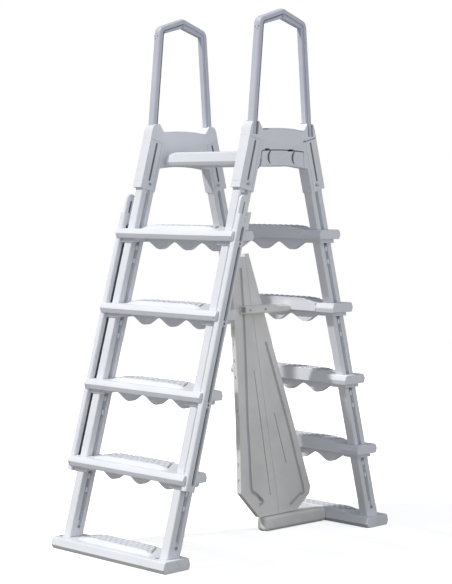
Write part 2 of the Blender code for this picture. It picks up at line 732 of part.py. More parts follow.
def make_barrier():
    g = 0.0007
    front = [SEAM_FOOT, SEAM_TOP, (-0.033, 1.004), (0.024, 0.153), (0.122, 0.055)]
    front = [(y - g if i < 2 else y, z) for i, (y, z) in enumerate(front)]
    front.reverse()
    rear = [(SEAM_FOOT[0] + g, SEAM_FOOT[1]), (0.325, 0.055), (0.396, 0.108), (0.402, 0.134),
            (0.0545, 1.016), (SEAM_TOP[0] + g - 0.0018, 1.0130)]
    for part in (front, rear):
        for i, (y, z) in enumerate(part):
            part[i] = (y, max(z, FOOT_TOP + GAP))
    wide = 0.0065
    fine = 0.0028
    panel_half("barrier_panel_front", front, [
        ([(0.015, 0.964), (0.033, 0.777), (0.055, 0.423), (0.078, 0.168), (0.135, 0.115)], wide),
        ([(0.088, 0.592), (0.180, 0.129)], fine),
    ])
    panel_half("barrier_panel_rear", rear, [
        ([(0.149, 0.692), (0.275, 0.375), (0.362, 0.122), (0.288, 0.079)], wide),
        ([(0.197, 0.429), (0.265, 0.237)], fine),
    ])
    y_seat = BASE_Y - BASE_HALF_Y - GAP
    mid = (BAR_X[0] + BAR_X[1]) / 2
    tip = 0.142
    plan = [(mid + 0.040, y_seat), (mid - 0.040, y_seat), (mid - 0.036, y_seat - 0.05)]
    for ang in (180, 210, 240, 270):
        a = math.radians(ang)
        plan.append((mid - 0.009 + 0.015 * math.cos(a), tip + 0.015 + 0.015 * math.sin(a)))
    for ang in (270, 300, 330, 360):
        a = math.radians(ang)
        plan.append((mid + 0.009 + 0.015 * math.cos(a), tip + 0.015 + 0.015 * math.sin(a)))
    plan.append((mid + 0.036, y_seat - 0.05))
    bm = bmesh.new()
    rings = []
    for z, inset in ((0.0, 0.008), (0.010, 0.0), (FOOT_TOP - 0.007, 0.0), (FOOT_TOP, 0.005)):
        ring = offset_outline(plan, inset) if inset else plan
        rings.append([(x, min(y, y_seat), z) for x, y in ring])
    skin(bm, rings)
    finish("barrier_foot", bm, "panel")
    bm = bmesh.new()
    c = 0.003
    outline = [(ARM_X[0], ARM_Z[0]), (ARM_X[1] - c, ARM_Z[0]), (ARM_X[1], ARM_Z[0] + c),
               (ARM_X[1], ARM_Z[1] - c), (ARM_X[1] - c, ARM_Z[1]), (ARM_X[0], ARM_Z[1])]
    extrude_y(bm, outline, ARM_Y[0], ARM_Y[1])
    arm = finish("barrier_arm", bm, "panel")
    holes = bmesh.new()
    for y, z in BARRIER_SCREWS:
        rod_x(holes, ARM_X[0] - 0.01, ARM_X[1] + 0.01, y, z, 0.0026, 8)
    cut(arm, holes, "barrier_arm_holes")
    for (y, z), label in zip(BARRIER_SCREWS, ("near", "far")):
        bm = bmesh.new()
        stations = ((BAR_X[0] + 0.006, 0.0022), (ARM_X[1] + GAP, 0.0022),
                    (ARM_X[1] + GAP, 0.0045), (ARM_X[1] + 0.0025, 0.0040))
        turned_x(bm, 1, stations, y, z)
        finish("barrier_screw_" + label, bm, "steel")


# ---- fasteners ------------------------------------------------------------------
def turned_x(bm, side, stations, y, z, sides=12):
    """Turned piece along x from (distance from the middle, radius) stations."""
    rings = []
    for x, radius in stations:
        ring = []
        for k in range(sides):
            a = 2.0 * math.pi * (k + 0.5) / sides
            ring.append((side * x, y + radius * math.cos(a), z + radius * math.sin(a)))
        rings.append(ring)
    skin(bm, rings)


def make_bolt(name, side, x_in, x_out, y, z):
    """Bolt lying along x with a head on the outer face and a nut on the inner."""
    bm = bmesh.new()
    turned_x(bm, side, ((x_in - HEAD_T, HEAD_R), (x_in, HEAD_R), (x_in, BOLT_R), (x_out, BOLT_R),
                        (x_out, HEAD_R), (x_out + HEAD_T, HEAD_R)), y, z)
    finish(name, bm, "steel")


def make_pin(name, side, reach_in, reach_out, y, z):
    bm = bmesh.new()
    turned_x(bm, side, ((reach_in, BOLT_R), (reach_out, BOLT_R)), y, z)
    finish(name, bm, "steel")


def make_fasteners(side, hand):
    sleeve_in = CASING_X - CASING_HALF_W - GAP
    sleeve_out = CASING_X + CASING_HALF_W + GAP
    rail_in = RAIL_X - RAIL_W / 2 - GAP
    rail_out = RAIL_X + RAIL_W / 2 + GAP
    for end, label in ((-1, "front"), (1, "rear")):
        tag = label + "_" + hand
        make_bolt("casing_bolt_" + tag, side, sleeve_in, sleeve_out,
                  mid_line(CASING_BOLT_Z, end), CASING_BOLT_Z)
        make_bolt("foot_bolt_" + tag, side, rail_in, rail_out,
                  mid_line(FOOT_BOLT_Z, end), FOOT_BOLT_Z)
        for k, z in enumerate(pin_heights(end)):
            name = "tread_pin_%s_%d" % (hand, len(pin_heights(end)) - k)
            if end < 0:
                name = "stop_pin_" + hand
            make_pin(name, side, rail_in - 0.006, rail_out + 0.006, mid_line(z, end), z)
    make_pin("platform_pin_" + hand, side, PLAT_HALF_X - 0.029,
             SADDLE_X[1] - RECESS_DEPTH - GAP, 0.0, PLAT_BOLT_Z)


# ---- assembly -------------------------------------------------------------------
def build():
    clear_scene()
    carrier = bpy.data.objects.new("slide_axis", None)
    carrier.location = (0.0, -FOOT_Y, 0.0)
    carrier.rotation_euler = (0.0, 0.0, 0.0)
    bpy.context.scene.collection.objects.link(carrier)
    sides = ((-1, "left"), (1, "right"))
    for end, label in ((-1, "front"), (1, "rear")):
        make_base("base_" + label, end)
        for k in range(TREADS):
            z = TREAD_RIDGE_LOW + (TREADS - 1 - k) * RISE
            make_tread("tread_%s_%d" % (label, k + 1), z, end, carrier if end < 0 else None)
        for side, hand in sides:
            make_rail("rail_%s_%s" % (label, hand), side, end)
            make_casing("casing_%s_%s" % (label, hand), side, end)
    for side, hand in sides:
        make_slide_rail("slide_rail_" + hand, side, carrier)
        make_latch("slide_latch_" + hand, side, carrier)
        make_saddle("saddle_" + hand, side)
        make_handrail("handrail_" + hand, side)
        make_fasteners(side, hand)
    make_platform()
    make_barrier()


build()
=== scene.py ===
"""Looks for the two-sided pool ladder: finer meshes, resin materials, light and camera."""
import bmesh
import bpy
import math
from mathutils import Matrix, Vector


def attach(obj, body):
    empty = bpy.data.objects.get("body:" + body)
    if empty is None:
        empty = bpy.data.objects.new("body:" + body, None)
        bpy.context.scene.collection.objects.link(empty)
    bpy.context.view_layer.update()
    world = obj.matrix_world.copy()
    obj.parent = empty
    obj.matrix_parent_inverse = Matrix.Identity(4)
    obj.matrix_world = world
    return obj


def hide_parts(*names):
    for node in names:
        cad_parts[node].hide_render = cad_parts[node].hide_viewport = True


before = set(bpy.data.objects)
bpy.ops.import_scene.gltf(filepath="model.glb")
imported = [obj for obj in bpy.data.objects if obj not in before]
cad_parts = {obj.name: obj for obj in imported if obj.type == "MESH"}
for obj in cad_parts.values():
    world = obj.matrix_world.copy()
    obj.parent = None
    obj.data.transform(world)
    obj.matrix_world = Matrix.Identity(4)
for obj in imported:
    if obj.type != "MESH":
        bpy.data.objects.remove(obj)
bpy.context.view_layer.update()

# ---- shared dimensions, metres --------------------------------------------------
RISE = 0.264
RIDGE_LOW = 0.294
TREADS = 4
RIDGES = [RIDGE_LOW + k * RISE for k in range(TREADS)]
LEAN_TAN = 0.2758
COS = 1.0 / math.sqrt(1.0 + LEAN_TAN ** 2)
SIN = LEAN_TAN * COS
FOOT_Y = 0.52435
RAIL_X = 0.242
RAIL_W = 0.036
RAIL_D = 0.0587
RAIL_FOOT_Z = 0.0162
RAIL_TOP_T = 1.458
BASE_Y = 0.5187
BASE_HALF_Y = 0.0635
BASE_HALF_X = 0.2815
BASE_H = 0.0390
TREAD_HALF_X = 0.288
TREAD_OUT = 0.0604
TREAD_DEPTH = 0.115
TREAD_HALF_H = 0.017
PLATEAU_RISE = 0.014
GRIP_HALF_X = 0.176
WAVE_PITCH = 0.1365
WAVE_MID = 0.0420
WAVE_AMP = 0.0140
WAVE_DEPTH = (0.0775, 0.0966)
WAVE_HALF_X = 0.2045
PLATEAU_ARC = ((WAVE_HALF_X, 0.0), (0.192, 0.0), (0.172, 0.45), (0.148, 0.82), (0.120, 1.0))
SOCKET_DROP = 0.031
SOCKET_X = (0.2050, 0.2705)
SOCKET_V = (-0.0390, 0.0335)
SLIDE_X = (0.2746, 0.2969)
SLIDE_V = (0.0003, 0.0438)
SLIDE_T = (0.2600, 1.1930)
SLIDE_GROOVE_V = 0.0165
SLIDE_GROOVE_W = 0.013
SLIDE_CORNER = 0.0026
SLIDE_BACK_V = 0.0150  # middle of the wider groove in the inner face
SLIDE_TOP_Z = 1.118  # upper end of the highest groove
SLOT_T = (1.1935, 1.2400)
SLOT_V = 0.0225
SLOT_W = 0.0075
HOUSING_V = -0.0090
HOUSING_Z = (1.1060, 1.1660)
TAB_X = (0.2785, 0.2880)
TONGUE_X = (0.2765, 0.2865)
TONGUE_T = 1.2640
LATCH_Z = 1.140
LATCH_V = 0.0125
LATCH_H = 0.011
LATCH_X = (0.2622, 0.2985)
CASING_X = 0.2440
CASING_HALF_W = 0.0215
CASING_V = (-0.0313, 0.0400)
CASING_T = (1.2875, 1.4703)
CASING_SLOT_V = 0.006
CASING_SLOT_Z = (1.274, 1.412)
SADDLE_X = (0.2225, 0.2655)
PLAT_TOP = 1.377
PLAT_RIDGE = 1.3425
PLAT_BOTTOM = 1.327
PLAT_LIP_X = 0.204
PLAT_HALF_Y = 0.115
POST_X = 0.2475
POST_W = 0.032
POST_T = 0.0265
CROWN_T = 0.033
STEP_IN = 0.006
POST_FOOT = (0.1560, 1.4320)
POST_CORNER = (0.1205, 1.8330)
POST_APEX_Z = 1.8720
BAR_X = (0.030, 0.050)
SEAM_TOP = (0.0370, 1.0040)
SEAM_FOOT = (0.2290, 0.0550)
SEAM_GAP = 0.0007
WIDE_GROOVE = 0.0125
FINE_GROOVE = 0.0042
FOOT_TOP = 0.0520
ARM_X = (0.0504, 0.0840)
ARM_Y = (0.0090, 0.2420)
ARM_Z = (0.8000, 0.8290)
MOON_Y = (-0.046, 0.078)
MOON_Z = 1.355
MOON_R = 0.027
RECESS_DEPTH = 0.0035
SIDES = ((-1, "left"), (1, "right"))
BROW_Z = 1.3770  # upper edge of the saddle's recess
EDGE_SHIFT = 0.008  # the recess line stands this far behind the rear sleeve's edge

# ---- detail sizes, metres -------------------------------------------------------
FIT = 0.0004  # gap between touching pieces
RAIL_FIT = 0.0015  # gap between a tread and the rail that runs through it
SLIDE_FIT = 0.0008  # gap round a slide rail in a tread
BITE = 0.01  # how far a cutter stands out of the face that it cuts
CHAMFER = 0.0022  # corner of a rail's section
GROOVE_V = -0.002  # middle of a rail's side groove
GROOVE_HALF = 0.0085
GROOVE_DEEP = 0.01105
LINE_V = 0.0175  # fine line beside the groove
STUD_DROPS = (0.052, 0.098)  # studs in the groove, below each tread's nose ridge
HOLE_V = -0.001
HOLE_R = 0.0033  # height-setting holes in the rails
HOLE_PITCH = 0.066
HOLE_FIRST = 0.150
HOLE_COUNT = 17
LATCH_LIFT = 0.090  # the rail's second latch hole is this much higher
DASH = (0.0125, 0.0046, 0.0020)  # length, width and height of a grip dash
SINK = 0.0004  # how deep a dash is set into its surface
FAN_DASH = (0.022, 0.0046, 0.0024)
LIP_DASH = (0.0125, 0.0060, 0.0020)
DASH_PITCH = 0.0265
LIP_PITCH = 0.026
LIP_COUNT = 13
ROW_PITCH = 0.0165
TREAD_ROWS = 4
PLAT_ROWS = 9
PLAT_ROW_PITCH = 0.0175
POST_ROUND = (0.0095, 0.0085)  # rounding of a post's outer edge, across and deep
POST_STEP = 0.0184  # depth at which a post steps in
POST_DOTS = ((-0.0040, 1.8000), (0.0100, 1.8015), (0.0060, 1.7915))


# ---- materials ------------------------------------------------------------------
DUST = (0.62, 0.62, 0.60)


def link(tree, a, b):
    tree.links.new(a, b)


def add_node(tree, kind, **values):
    """New shader node, its inputs set by name with _ for a space."""
    node = tree.nodes.new("ShaderNode" + kind)
    for key, value in values.items():
        node.inputs[key.replace("_", " ")].default_value = value
    return node


def noise(tree, coords, scale, detail):
    node = add_node(tree, "TexNoise", Scale=scale, Detail=detail)
    link(tree, coords.outputs["Object"], node.inputs["Vector"])
    return node.outputs["Fac"]


def spread(tree, source, low, high, start=0.0, stop=1.0):
    """Map a value's span from start to stop onto low to high."""
    node = add_node(tree, "MapRange", From_Min=start, From_Max=stop, To_Min=low, To_Max=high)
    link(tree, source, node.inputs["Value"])
    return node.outputs["Result"]


def tint(tree, share, base, colour):
    """Mix a colour over a base by a share."""
    node = tree.nodes.new("ShaderNodeMix")
    node.data_type = "RGBA"
    node.inputs["B"].default_value = (*colour, 1.0)
    link(tree, share, node.inputs["Factor"])
    link(tree, base, node.inputs["A"])
    return node.outputs["Result"]


def tones(tree, source, low, high, start=0.0, stop=1.0):
    """Colour that runs from one tone to another as a value runs from start to stop."""
    ramp = tree.nodes.new("ShaderNodeValToRGB")
    for element, place, colour in zip(ramp.color_ramp.elements, (start, stop), (low, high)):
        element.position = place
        element.color = (*colour, 1.0)
    link(tree, source, ramp.inputs["Fac"])
    return ramp.outputs["Color"]


def new_paint(name):
    mat = bpy.data.materials.new(name)
    mat.use_nodes = True
    return mat, mat.node_tree, mat.node_tree.nodes["Principled BSDF"]


def resin(name, light, dark, rough=0.42, grain=900.0, bump=0.10):
    """Moulded resin: faint cloudy tone, fine pebble grain, soft dust and pale rubbed edges."""
    mat, tree, shader = new_paint(name)
    coords = tree.nodes.new("ShaderNodeTexCoord")
    cloud = noise(tree, coords, 7.0, 6.0)
    fleck = spread(tree, noise(tree, coords, 160.0, 4.0), 0.0, 0.16, 0.62, 0.80)
    dusty = tint(tree, fleck, tones(tree, cloud, dark, light, 0.34, 0.66), DUST)
    geo = tree.nodes.new("ShaderNodeNewGeometry")
    edge = spread(tree, geo.outputs["Pointiness"], 0.0, 0.35, 0.52, 0.60)
    rubbed = tint(tree, edge, dusty, [min(1.0, c * 1.08) for c in light])
    link(tree, rubbed, shader.inputs["Base Color"])
    link(tree, spread(tree, cloud, rough - 0.06, rough + 0.10), shader.inputs["Roughness"])
    relief = add_node(tree, "Bump", Strength=bump, Distance=0.0006)
    link(tree, noise(tree, coords, grain, 3.0), relief.inputs["Height"])
    link(tree, relief.outputs["Normal"], shader.inputs["Normal"])
    return mat


def steel(name):
    """Plain drawn steel with fine grain in its tone and gloss."""
    mat, tree, shader = new_paint(name)
    shader.inputs["Metallic"].default_value = 1.0
    grain = noise(tree, tree.nodes.new("ShaderNodeTexCoord"), 220.0, 5.0)
    link(tree, tones(tree, grain, (0.34, 0.35, 0.36), (0.66, 0.67, 0.68)),
         shader.inputs["Base Color"])
    link(tree, spread(tree, grain, 0.25, 0.45), shader.inputs["Roughness"])
    return mat


def show_camera(tree, seen, unseen, output):
    """Show one shader to the camera and another to every other ray."""
    path = tree.nodes.new("ShaderNodeLightPath")
    pick = tree.nodes.new("ShaderNodeMixShader")
    link(tree, path.outputs["Is Camera Ray"], pick.inputs["Fac"])
    link(tree, unseen, pick.inputs[1])
    link(tree, seen, pick.inputs[2])
    link(tree, pick.outputs["Shader"], tree.nodes[output].inputs["Surface"])


WHITE = resin("white_resin", (0.80, 0.82, 0.872), (0.765, 0.785, 0.837))
LILAC = resin("handrail_resin", (0.60, 0.615, 0.70), (0.565, 0.58, 0.665), rough=0.46)
# The barrier's warm grey is its own tone, but it is made brighter than the white resin to stand in
# for light bounced onto the panel: painted light.
GREY = resin("barrier_resin", (0.88, 0.865, 0.86), (0.75, 0.735, 0.73), rough=0.48)
# Painted shade: this mid grey stands for the short shadows of the grip dashes and the shade inside
# the rails' and the barrier's grooves.
SHADE = resin("painted_shade_grey", (0.50, 0.515, 0.55), (0.46, 0.475, 0.51), rough=0.55)
# Painted shade: this near black goes into slots, grooves and pockets, on the saddles' cut lines and
# along the handrail's edges, where there is only shade.
DEEP_SHADE = resin("painted_shade_dark", (0.15, 0.155, 0.17), (0.12, 0.125, 0.14), rough=0.60)
METAL = steel("plain_steel")
FINISH = {"resin": WHITE, "handrail_resin": LILAC, "barrier_resin": GREY}


# ---- mesh helpers ---------------------------------------------------------------
def skin(bm, rings):
    """Closed body through rings of matching points."""
    loops = [[bm.verts.new(p) for p in ring] for ring in rings]
    count = len(loops[0])
    for low, high in zip(loops, loops[1:]):
        for i in range(count):
            j = (i + 1) % count
            bm.faces.new((low[i], low[j], high[j], high[i]))
    bm.faces.new(list(reversed(loops[0])))
    bm.faces.new(loops[-1])


def body_of(rings):
    bm = bmesh.new()
    skin(bm, rings)
    return bm


def extrude_x(bm, outline, x_low, x_high):
    skin(bm, [[(x, y, z) for y, z in outline] for x in (x_low, x_high)])


def extrude_y(bm, outline, y_low, y_high):
    skin(bm, [[(x, y, z) for x, z in outline] for y in (y_low, y_high)])


def box(bm, low, high):
    outline = [(low[1], low[2]), (high[1], low[2]), (high[1], high[2]), (low[1], high[2])]
    extrude_x(bm, outline, low[0], high[0])


def side_span(side, low, high):
    """Span of x from distances out from the middle, on one side."""
    return (low, high) if side > 0 else (-high, -low)


def lean(x, v, t, end):
    """Point at length t along a leaning rail and v across it, v toward the outside."""
    y = -FOOT_Y + t * SIN - v * COS
    z = t * COS + v * SIN
    return (x, -end * y, z)


def t_at(z, v):
    """Length along the lean at which a line v off the rail is at height z."""
    return (z - v * SIN) / COS


def mid_line(z, end):
    """y of the rails' middle line at height z."""
    return end * (FOOT_Y - LEAN_TAN * z)


def lean_rings(section, end, stations):
    """Rings of a lean section at stations; a station is ("t", value) or ("z", value)."""
    rings = []
    for kind, value in stations:
        rings.append([lean(x, v, value if kind == "t" else t_at(value, v), end)
                      for x, v in section])
    return rings


def lean_prism(bm, outline, end, side, low, high):
    """Prism of (v, t) points between two distances out from the ladder's middle."""
    skin(bm, [[lean(x, v, t, end) for v, t in outline] for x in side_span(side, low, high)])


def lean_block(bm, end, side, x_span, v_span, stations):
    """Block along the lean; x_span is measured out from the ladder's middle."""
    x0, x1 = side_span(side, *x_span)
    v0, v1 = v_span
    skin(bm, lean_rings([(x0, v0), (x1, v0), (x1, v1), (x0, v1)], end, stations))


def arc(u, v, radius, start, step, count):
    """Points on a circle, from a start angle in degrees onward in equal steps."""
    out = []
    for k in range(count):
        a = math.radians(start + step * k)
        out.append((u + radius * math.cos(a), v + radius * math.sin(a)))
    return out


def disc(u, v, radius, sides=18):
    return arc(u, v, radius, 180.0 / sides, 360.0 / sides, sides)


def pill(v, t_low, t_high, half):
    """Long slot outline with round ends."""
    return arc(v, t_high - half, half, 0, 22.5, 9) + arc(v, t_low + half, half, 180, 22.5, 9)


def turn_at(back, ahead):
    """Direction to the left of a bend, and the cosine of half its angle."""
    n1 = Vector((-back.y, back.x)).normalized()
    n2 = Vector((-ahead.y, ahead.x)).normalized()
    mid = (n1 + n2).normalized()
    return mid, mid.dot(n1)


def bends(path):
    """Every point of an open path with what turn_at says there."""
    for i, point in enumerate(path):
        here = Vector(point)
        back = here - Vector(path[i - 1]) if i else Vector(path[1]) - here
        ahead = Vector(path[i + 1]) - here if i + 1 < len(path) else back
        yield (here, *turn_at(back, ahead))


def strip(path, width):
    """Outline of a band of even width along an open path."""
    left = []
    right = []
    for here, mid, share in bends(path):
        reach = 0.5 * width / max(0.4, share)
        left.append(tuple(here + mid * reach))
        right.append(tuple(here - mid * reach))
    return left + list(reversed(right))


def crescent(path, width):
    """Outline of a curved groove, widest in its middle and pointed at both ends."""
    left = []
    right = []
    count = len(path)
    for i, point in enumerate(path):
        here = Vector(point)
        run = Vector(path[min(count - 1, i + 1)]) - Vector(path[max(0, i - 1)])
        across = Vector((-run.y, run.x)).normalized()
        reach = 0.5 * width * max(0.10, math.sin(math.pi * i / (count - 1)) ** 0.7)
        left.append(tuple(here + across * reach))
        right.append(tuple(here - across * reach))
    return left + list(reversed(right))


def smooth_path(points, per=6):
    """Catmull-Rom path through 2-D points."""
    out = []
    count = len(points)
    for i in range(count - 1):
        p0 = Vector(points[max(0, i - 1)])
        p1 = Vector(points[i])
        p2 = Vector(points[i + 1])
        p3 = Vector(points[min(count - 1, i + 2)])
        for k in range(per):
            s = k / per
            q = 0.5 * ((2 * p1) + (p2 - p0) * s + (2 * p0 - 5 * p1 + 4 * p2 - p3) * s * s
                       + (3 * p1 - p0 - 3 * p2 + p3) * s ** 3)
            out.append((q.x, q.y))
    out.append(tuple(points[-1]))
    return out


def offset_outline(outline, inset):
    """A closed outline drawn again, this far to the left of its own run."""
    out = []
    for i, point in enumerate(outline):
        here = Vector(point)
        after = Vector(outline[(i + 1) % len(outline)])
        mid, share = turn_at(here - Vector(outline[i - 1]), after - here)
        out.append(tuple(here + mid * (inset / max(0.3, share))))
    return out


def new_object(name, bm):
    """Mesh object from a bmesh, faces out."""
    bmesh.ops.recalc_face_normals(bm, faces=bm.faces)
    mesh = bpy.data.meshes.new(name)
    bm.to_mesh(mesh)
    bm.free()
    obj = bpy.data.objects.new(name, mesh)
    bpy.context.scene.collection.objects.link(obj)
    return obj


def new_piece(name, bm):
    return new_object(name + "_fine", bm)


def settle(obj):
    """Apply all modifiers of an object."""
    graph = bpy.context.evaluated_depsgraph_get()
    mesh = bpy.data.meshes.new_from_object(obj.evaluated_get(graph))
    obj.modifiers.clear()
    obj.data = mesh


def carve(obj, bm, how="DIFFERENCE"):
    """Boolean with a temporary cutter, applied at once."""
    tool = new_object("tool", bm)
    mod = obj.modifiers.new("carve", "BOOLEAN")
    mod.operation = how
    mod.solver = "EXACT"
    mod.use_self = True
    mod.object = tool
    settle(obj)
    bpy.data.objects.remove(tool, do_unlink=True)


def soften(obj, width, segments=2, angle=28.0):
    """Rounded edges, applied."""
    mod = obj.modifiers.new("soften", "BEVEL")
    mod.width = width
    mod.segments = segments
    mod.limit_method = "ANGLE"
    mod.angle_limit = math.radians(angle)
    mod.miter_outer = "MITER_ARC"
    mod.harden_normals = False
    settle(obj)


def pour(bm, other):
    """Move the shapes of one bmesh into another."""
    temp = bpy.data.meshes.new("extra")
    other.to_mesh(temp)
    other.free()
    bm.from_mesh(temp)
    bpy.data.meshes.remove(temp)


def merge(obj, bm):
    """Lay loose closed shapes into a piece's mesh as they are."""
    bmesh.ops.recalc_face_normals(bm, faces=bm.faces)
    whole = bmesh.new()
    whole.from_mesh(obj.data)
    pour(whole, bm)
    whole.to_mesh(obj.data)
    whole.free()


def dress(obj, nodes, body, slot, extra=None, shade_inserts=()):
    """Add raised detail and the inserts tinted with painted shade, shade the piece smooth, paint it
    and hang it on its body.
    """
    if extra is not None:
        merge(obj, extra)
    obj.data.materials.clear()
    obj.data.materials.append(FINISH[slot])
    starts = [0]
    for bm, tint in shade_inserts:
        starts.append(len(obj.data.polygons))
        merge(obj, bm)
        obj.data.materials.append(tint)
    for poly in obj.data.polygons:
        poly.material_index = sum(1 for start in starts[1:] if poly.index >= start)
    obj.data.shade_smooth()
    obj.data.set_sharp_from_angle(angle=math.radians(40.0))
    weighted = obj.modifiers.new("weighted", "WEIGHTED_NORMAL")
    weighted.keep_sharp = True
    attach(obj, body)
    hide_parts(*nodes)


def dash(bm, centre, size, turn=0.0):
    """Small raised grip dash with sloping sides, lying on a level surface."""
    length, width, height = size
    c = math.cos(turn)
    s = math.sin(turn)
    rings = []
    for k, z in ((1.0, 0.0), (0.94, height * 0.6), (0.72, height)):
        ring = []
        for a, b in ((-1, -0.6), (-0.8, -1), (0.8, -1), (1, -0.6), (1, 0.6), (0.8, 1),
                     (-0.8, 1), (-1, 0.6)):
            px = a * (length / 2 - width / 2 * (1 - k))
            py = b * width / 2 * k
            ring.append((centre[0] + c * px - s * py, centre[1] + s * px + c * py,
                         centre[2] + z - SINK))
        rings.append(ring)
    skin(bm, rings)


def arc_drop(x):
    """How far the grip block lies below its crown at this distance from the middle."""
    across = abs(x)
    outer_x, outer_part = PLATEAU_ARC[0]
    for inner_x, inner_part in PLATEAU_ARC[1:]:
        if across >= inner_x:
            share = (across - inner_x) / (outer_x - inner_x)
            return PLATEAU_RISE * (1.0 - inner_part - share * (outer_part - inner_part))
        outer_x, outer_part = inner_x, inner_part
    return 0.0


def grip(bm, half_x, y_start, depth_sign, rows, pitch_y, z, arched=True):
    """Staggered rows of grip dashes with a fan of slanted ones at both ends."""
    for r in range(rows):
        y = y_start + depth_sign * r * pitch_y
        shift = 0.5 * DASH_PITCH if r % 2 else 0.0
        count = int(2 * half_x / DASH_PITCH)
        for k in range(count + 1):
            x = (k - count / 2) * DASH_PITCH + shift
            if abs(x) < half_x - 0.030:
                dash(bm, (x, y, z - (arc_drop(x) if arched else 0.0)), DASH)
    for side in (-1, 1):
        for k in range(4):
            x = side * (half_x - 0.014 - 0.007 * k)
            y = y_start + depth_sign * (rows - 1) * pitch_y * (0.12 + 0.24 * k)
            dash(bm, (x, y, z - (arc_drop(x) if arched else 0.0) + 0.0006), FAN_DASH,
                 -side * depth_sign * 0.75)


def rail_socket(bm, end, side, fit_x, fit_v, stations):
    """Block the size of a rail with a gap on each side, for cutting its socket."""
    half_x = RAIL_W / 2 + fit_x
    half_v = RAIL_D / 2 + fit_v
    lean_block(bm, end, side, (RAIL_X - half_x, RAIL_X + half_x), (-half_v, half_v), stations)


def latch_hole(bm, side, low, high, lift=0.0):
    """Square hole for a latch, in the rails at the latch's height or lifted along them."""
    point = lean(0.0, LATCH_V, t_at(LATCH_Z, LATCH_V) + lift, -1)
    h = LATCH_H / 2 + 0.0006
    a, b = side_span(side, low, high)
    box(bm, (a, point[1] - h, point[2] - h), (b, point[1] + h, point[2] + h))


# ---- treads ---------------------------------------------------------------------
def plateau_stations():
    """(x, raised fraction) stations of the grip block from one low end to the other."""
    half = list(PLATEAU_ARC)
    return [(-x, part) for x, part in half] + [(x, part) for x, part in reversed(half)]


def plateau_section(lip, top):
    """(depth, height) outline of the raised grip block over a lip."""
    wall = TREAD_DEPTH + 0.0003
    low = lip - 0.0006
    return [(0.040, -0.008), (wall - 0.006, -0.0158), (wall - 0.0015, -0.0158), (wall, -0.014),
            (wall, top - 0.002), (wall - 0.003, top), (0.038, top), (0.028, low)]


def block_lift(part):
    """Height of the grip block where it is raised by this fraction, sunk where it isn't."""
    return PLATEAU_RISE * part if part else -0.0006


def wave_outline(z):
    """(x, z) outline of the hanging apron with its wavy lower edge."""
    out = [(-WAVE_HALF_X, z - TREAD_HALF_H + 0.003)]
    steps = 96
    for i in range(steps + 1):
        x = -WAVE_HALF_X + 2.0 * WAVE_HALF_X * i / steps
        drop = WAVE_MID + WAVE_AMP * math.cos(2.0 * math.pi * x / WAVE_PITCH)
        out.append((x, z - drop))
    out.append((WAVE_HALF_X, z - TREAD_HALF_H + 0.003))
    return out


def tread_slab(y_out, z, d):
    """Slab from the outward nose ridge to the inward one, drawn in a little at its ends."""
    h = TREAD_HALF_H
    outline = [(0.0006, -0.0016), (0.0056, -h + 0.003), (0.0076, -h), (TREAD_DEPTH - 0.004, -h),
               (TREAD_DEPTH - 0.0002, -0.004), (TREAD_DEPTH, 0.0), (TREAD_DEPTH - 0.006, h - 0.003),
               (TREAD_DEPTH - 0.011, h), (0.011, h), (0.0065, h - 0.0035), (0.0, 0.0)]
    mid = TREAD_DEPTH / 2
    ends = [(0.0, 0.965, 0.94), (0.0015, 0.990, 0.985), (0.004, 1.0, 1.0)]
    rings = []
    for side, steps in ((-1, ends), (1, ends[::-1])):
        for inset, wide, tall in steps:
            rings.append([(side * (TREAD_HALF_X - inset), y_out + d * (mid + (depth - mid) * wide),
                           z + height * tall) for depth, height in outline])
    return body_of(rings)


def tread_block(y_out, z, d):
    """Raised grip block, arched from end to end."""
    rings = []
    for x, part in plateau_stations():
        section = plateau_section(TREAD_HALF_H, TREAD_HALF_H + block_lift(part))
        rings.append([(x, y_out + d * depth, z + height) for depth, height in section])
    return body_of(rings)


def tread_apron(y_out, z, end):
    """Wavy apron and the two rail sockets that hang under a tread."""
    bm = bmesh.new()
    extrude_y(bm, wave_outline(z), *sorted(y_out - end * depth for depth in WAVE_DEPTH))
    for side in (-1, 1):
        lean_block(bm, end, side, SOCKET_X, SOCKET_V,
                   (("z", z - SOCKET_DROP), ("z", z - TREAD_HALF_H + 0.003)))
    return bm


def tread_cuts(y_out, z, end):
    """Ways for the rails and slide rails, and a small notch at each end of the nose."""
    bm = bmesh.new()
    stations = (("z", z - 0.07), ("z", z + 0.06))
    y0, y1 = sorted((y_out + end * BITE, y_out - end * 0.0045))
    for side in (-1, 1):
        rail_socket(bm, end, side, RAIL_FIT, RAIL_FIT, stations)
        if end < 0:
            lean_block(bm, end, side, (SLIDE_X[0] - SLIDE_FIT, SLIDE_X[1] + 2 * BITE),
                       (SLIDE_V[0] - SLIDE_FIT, SLIDE_V[1] + SLIDE_FIT), stations)
        a, b = side_span(side, TREAD_HALF_X - 0.010, TREAD_HALF_X - 0.0075)
        box(bm, (a, y0, z - 0.012), (b, y1, z - 0.004))
    return bm


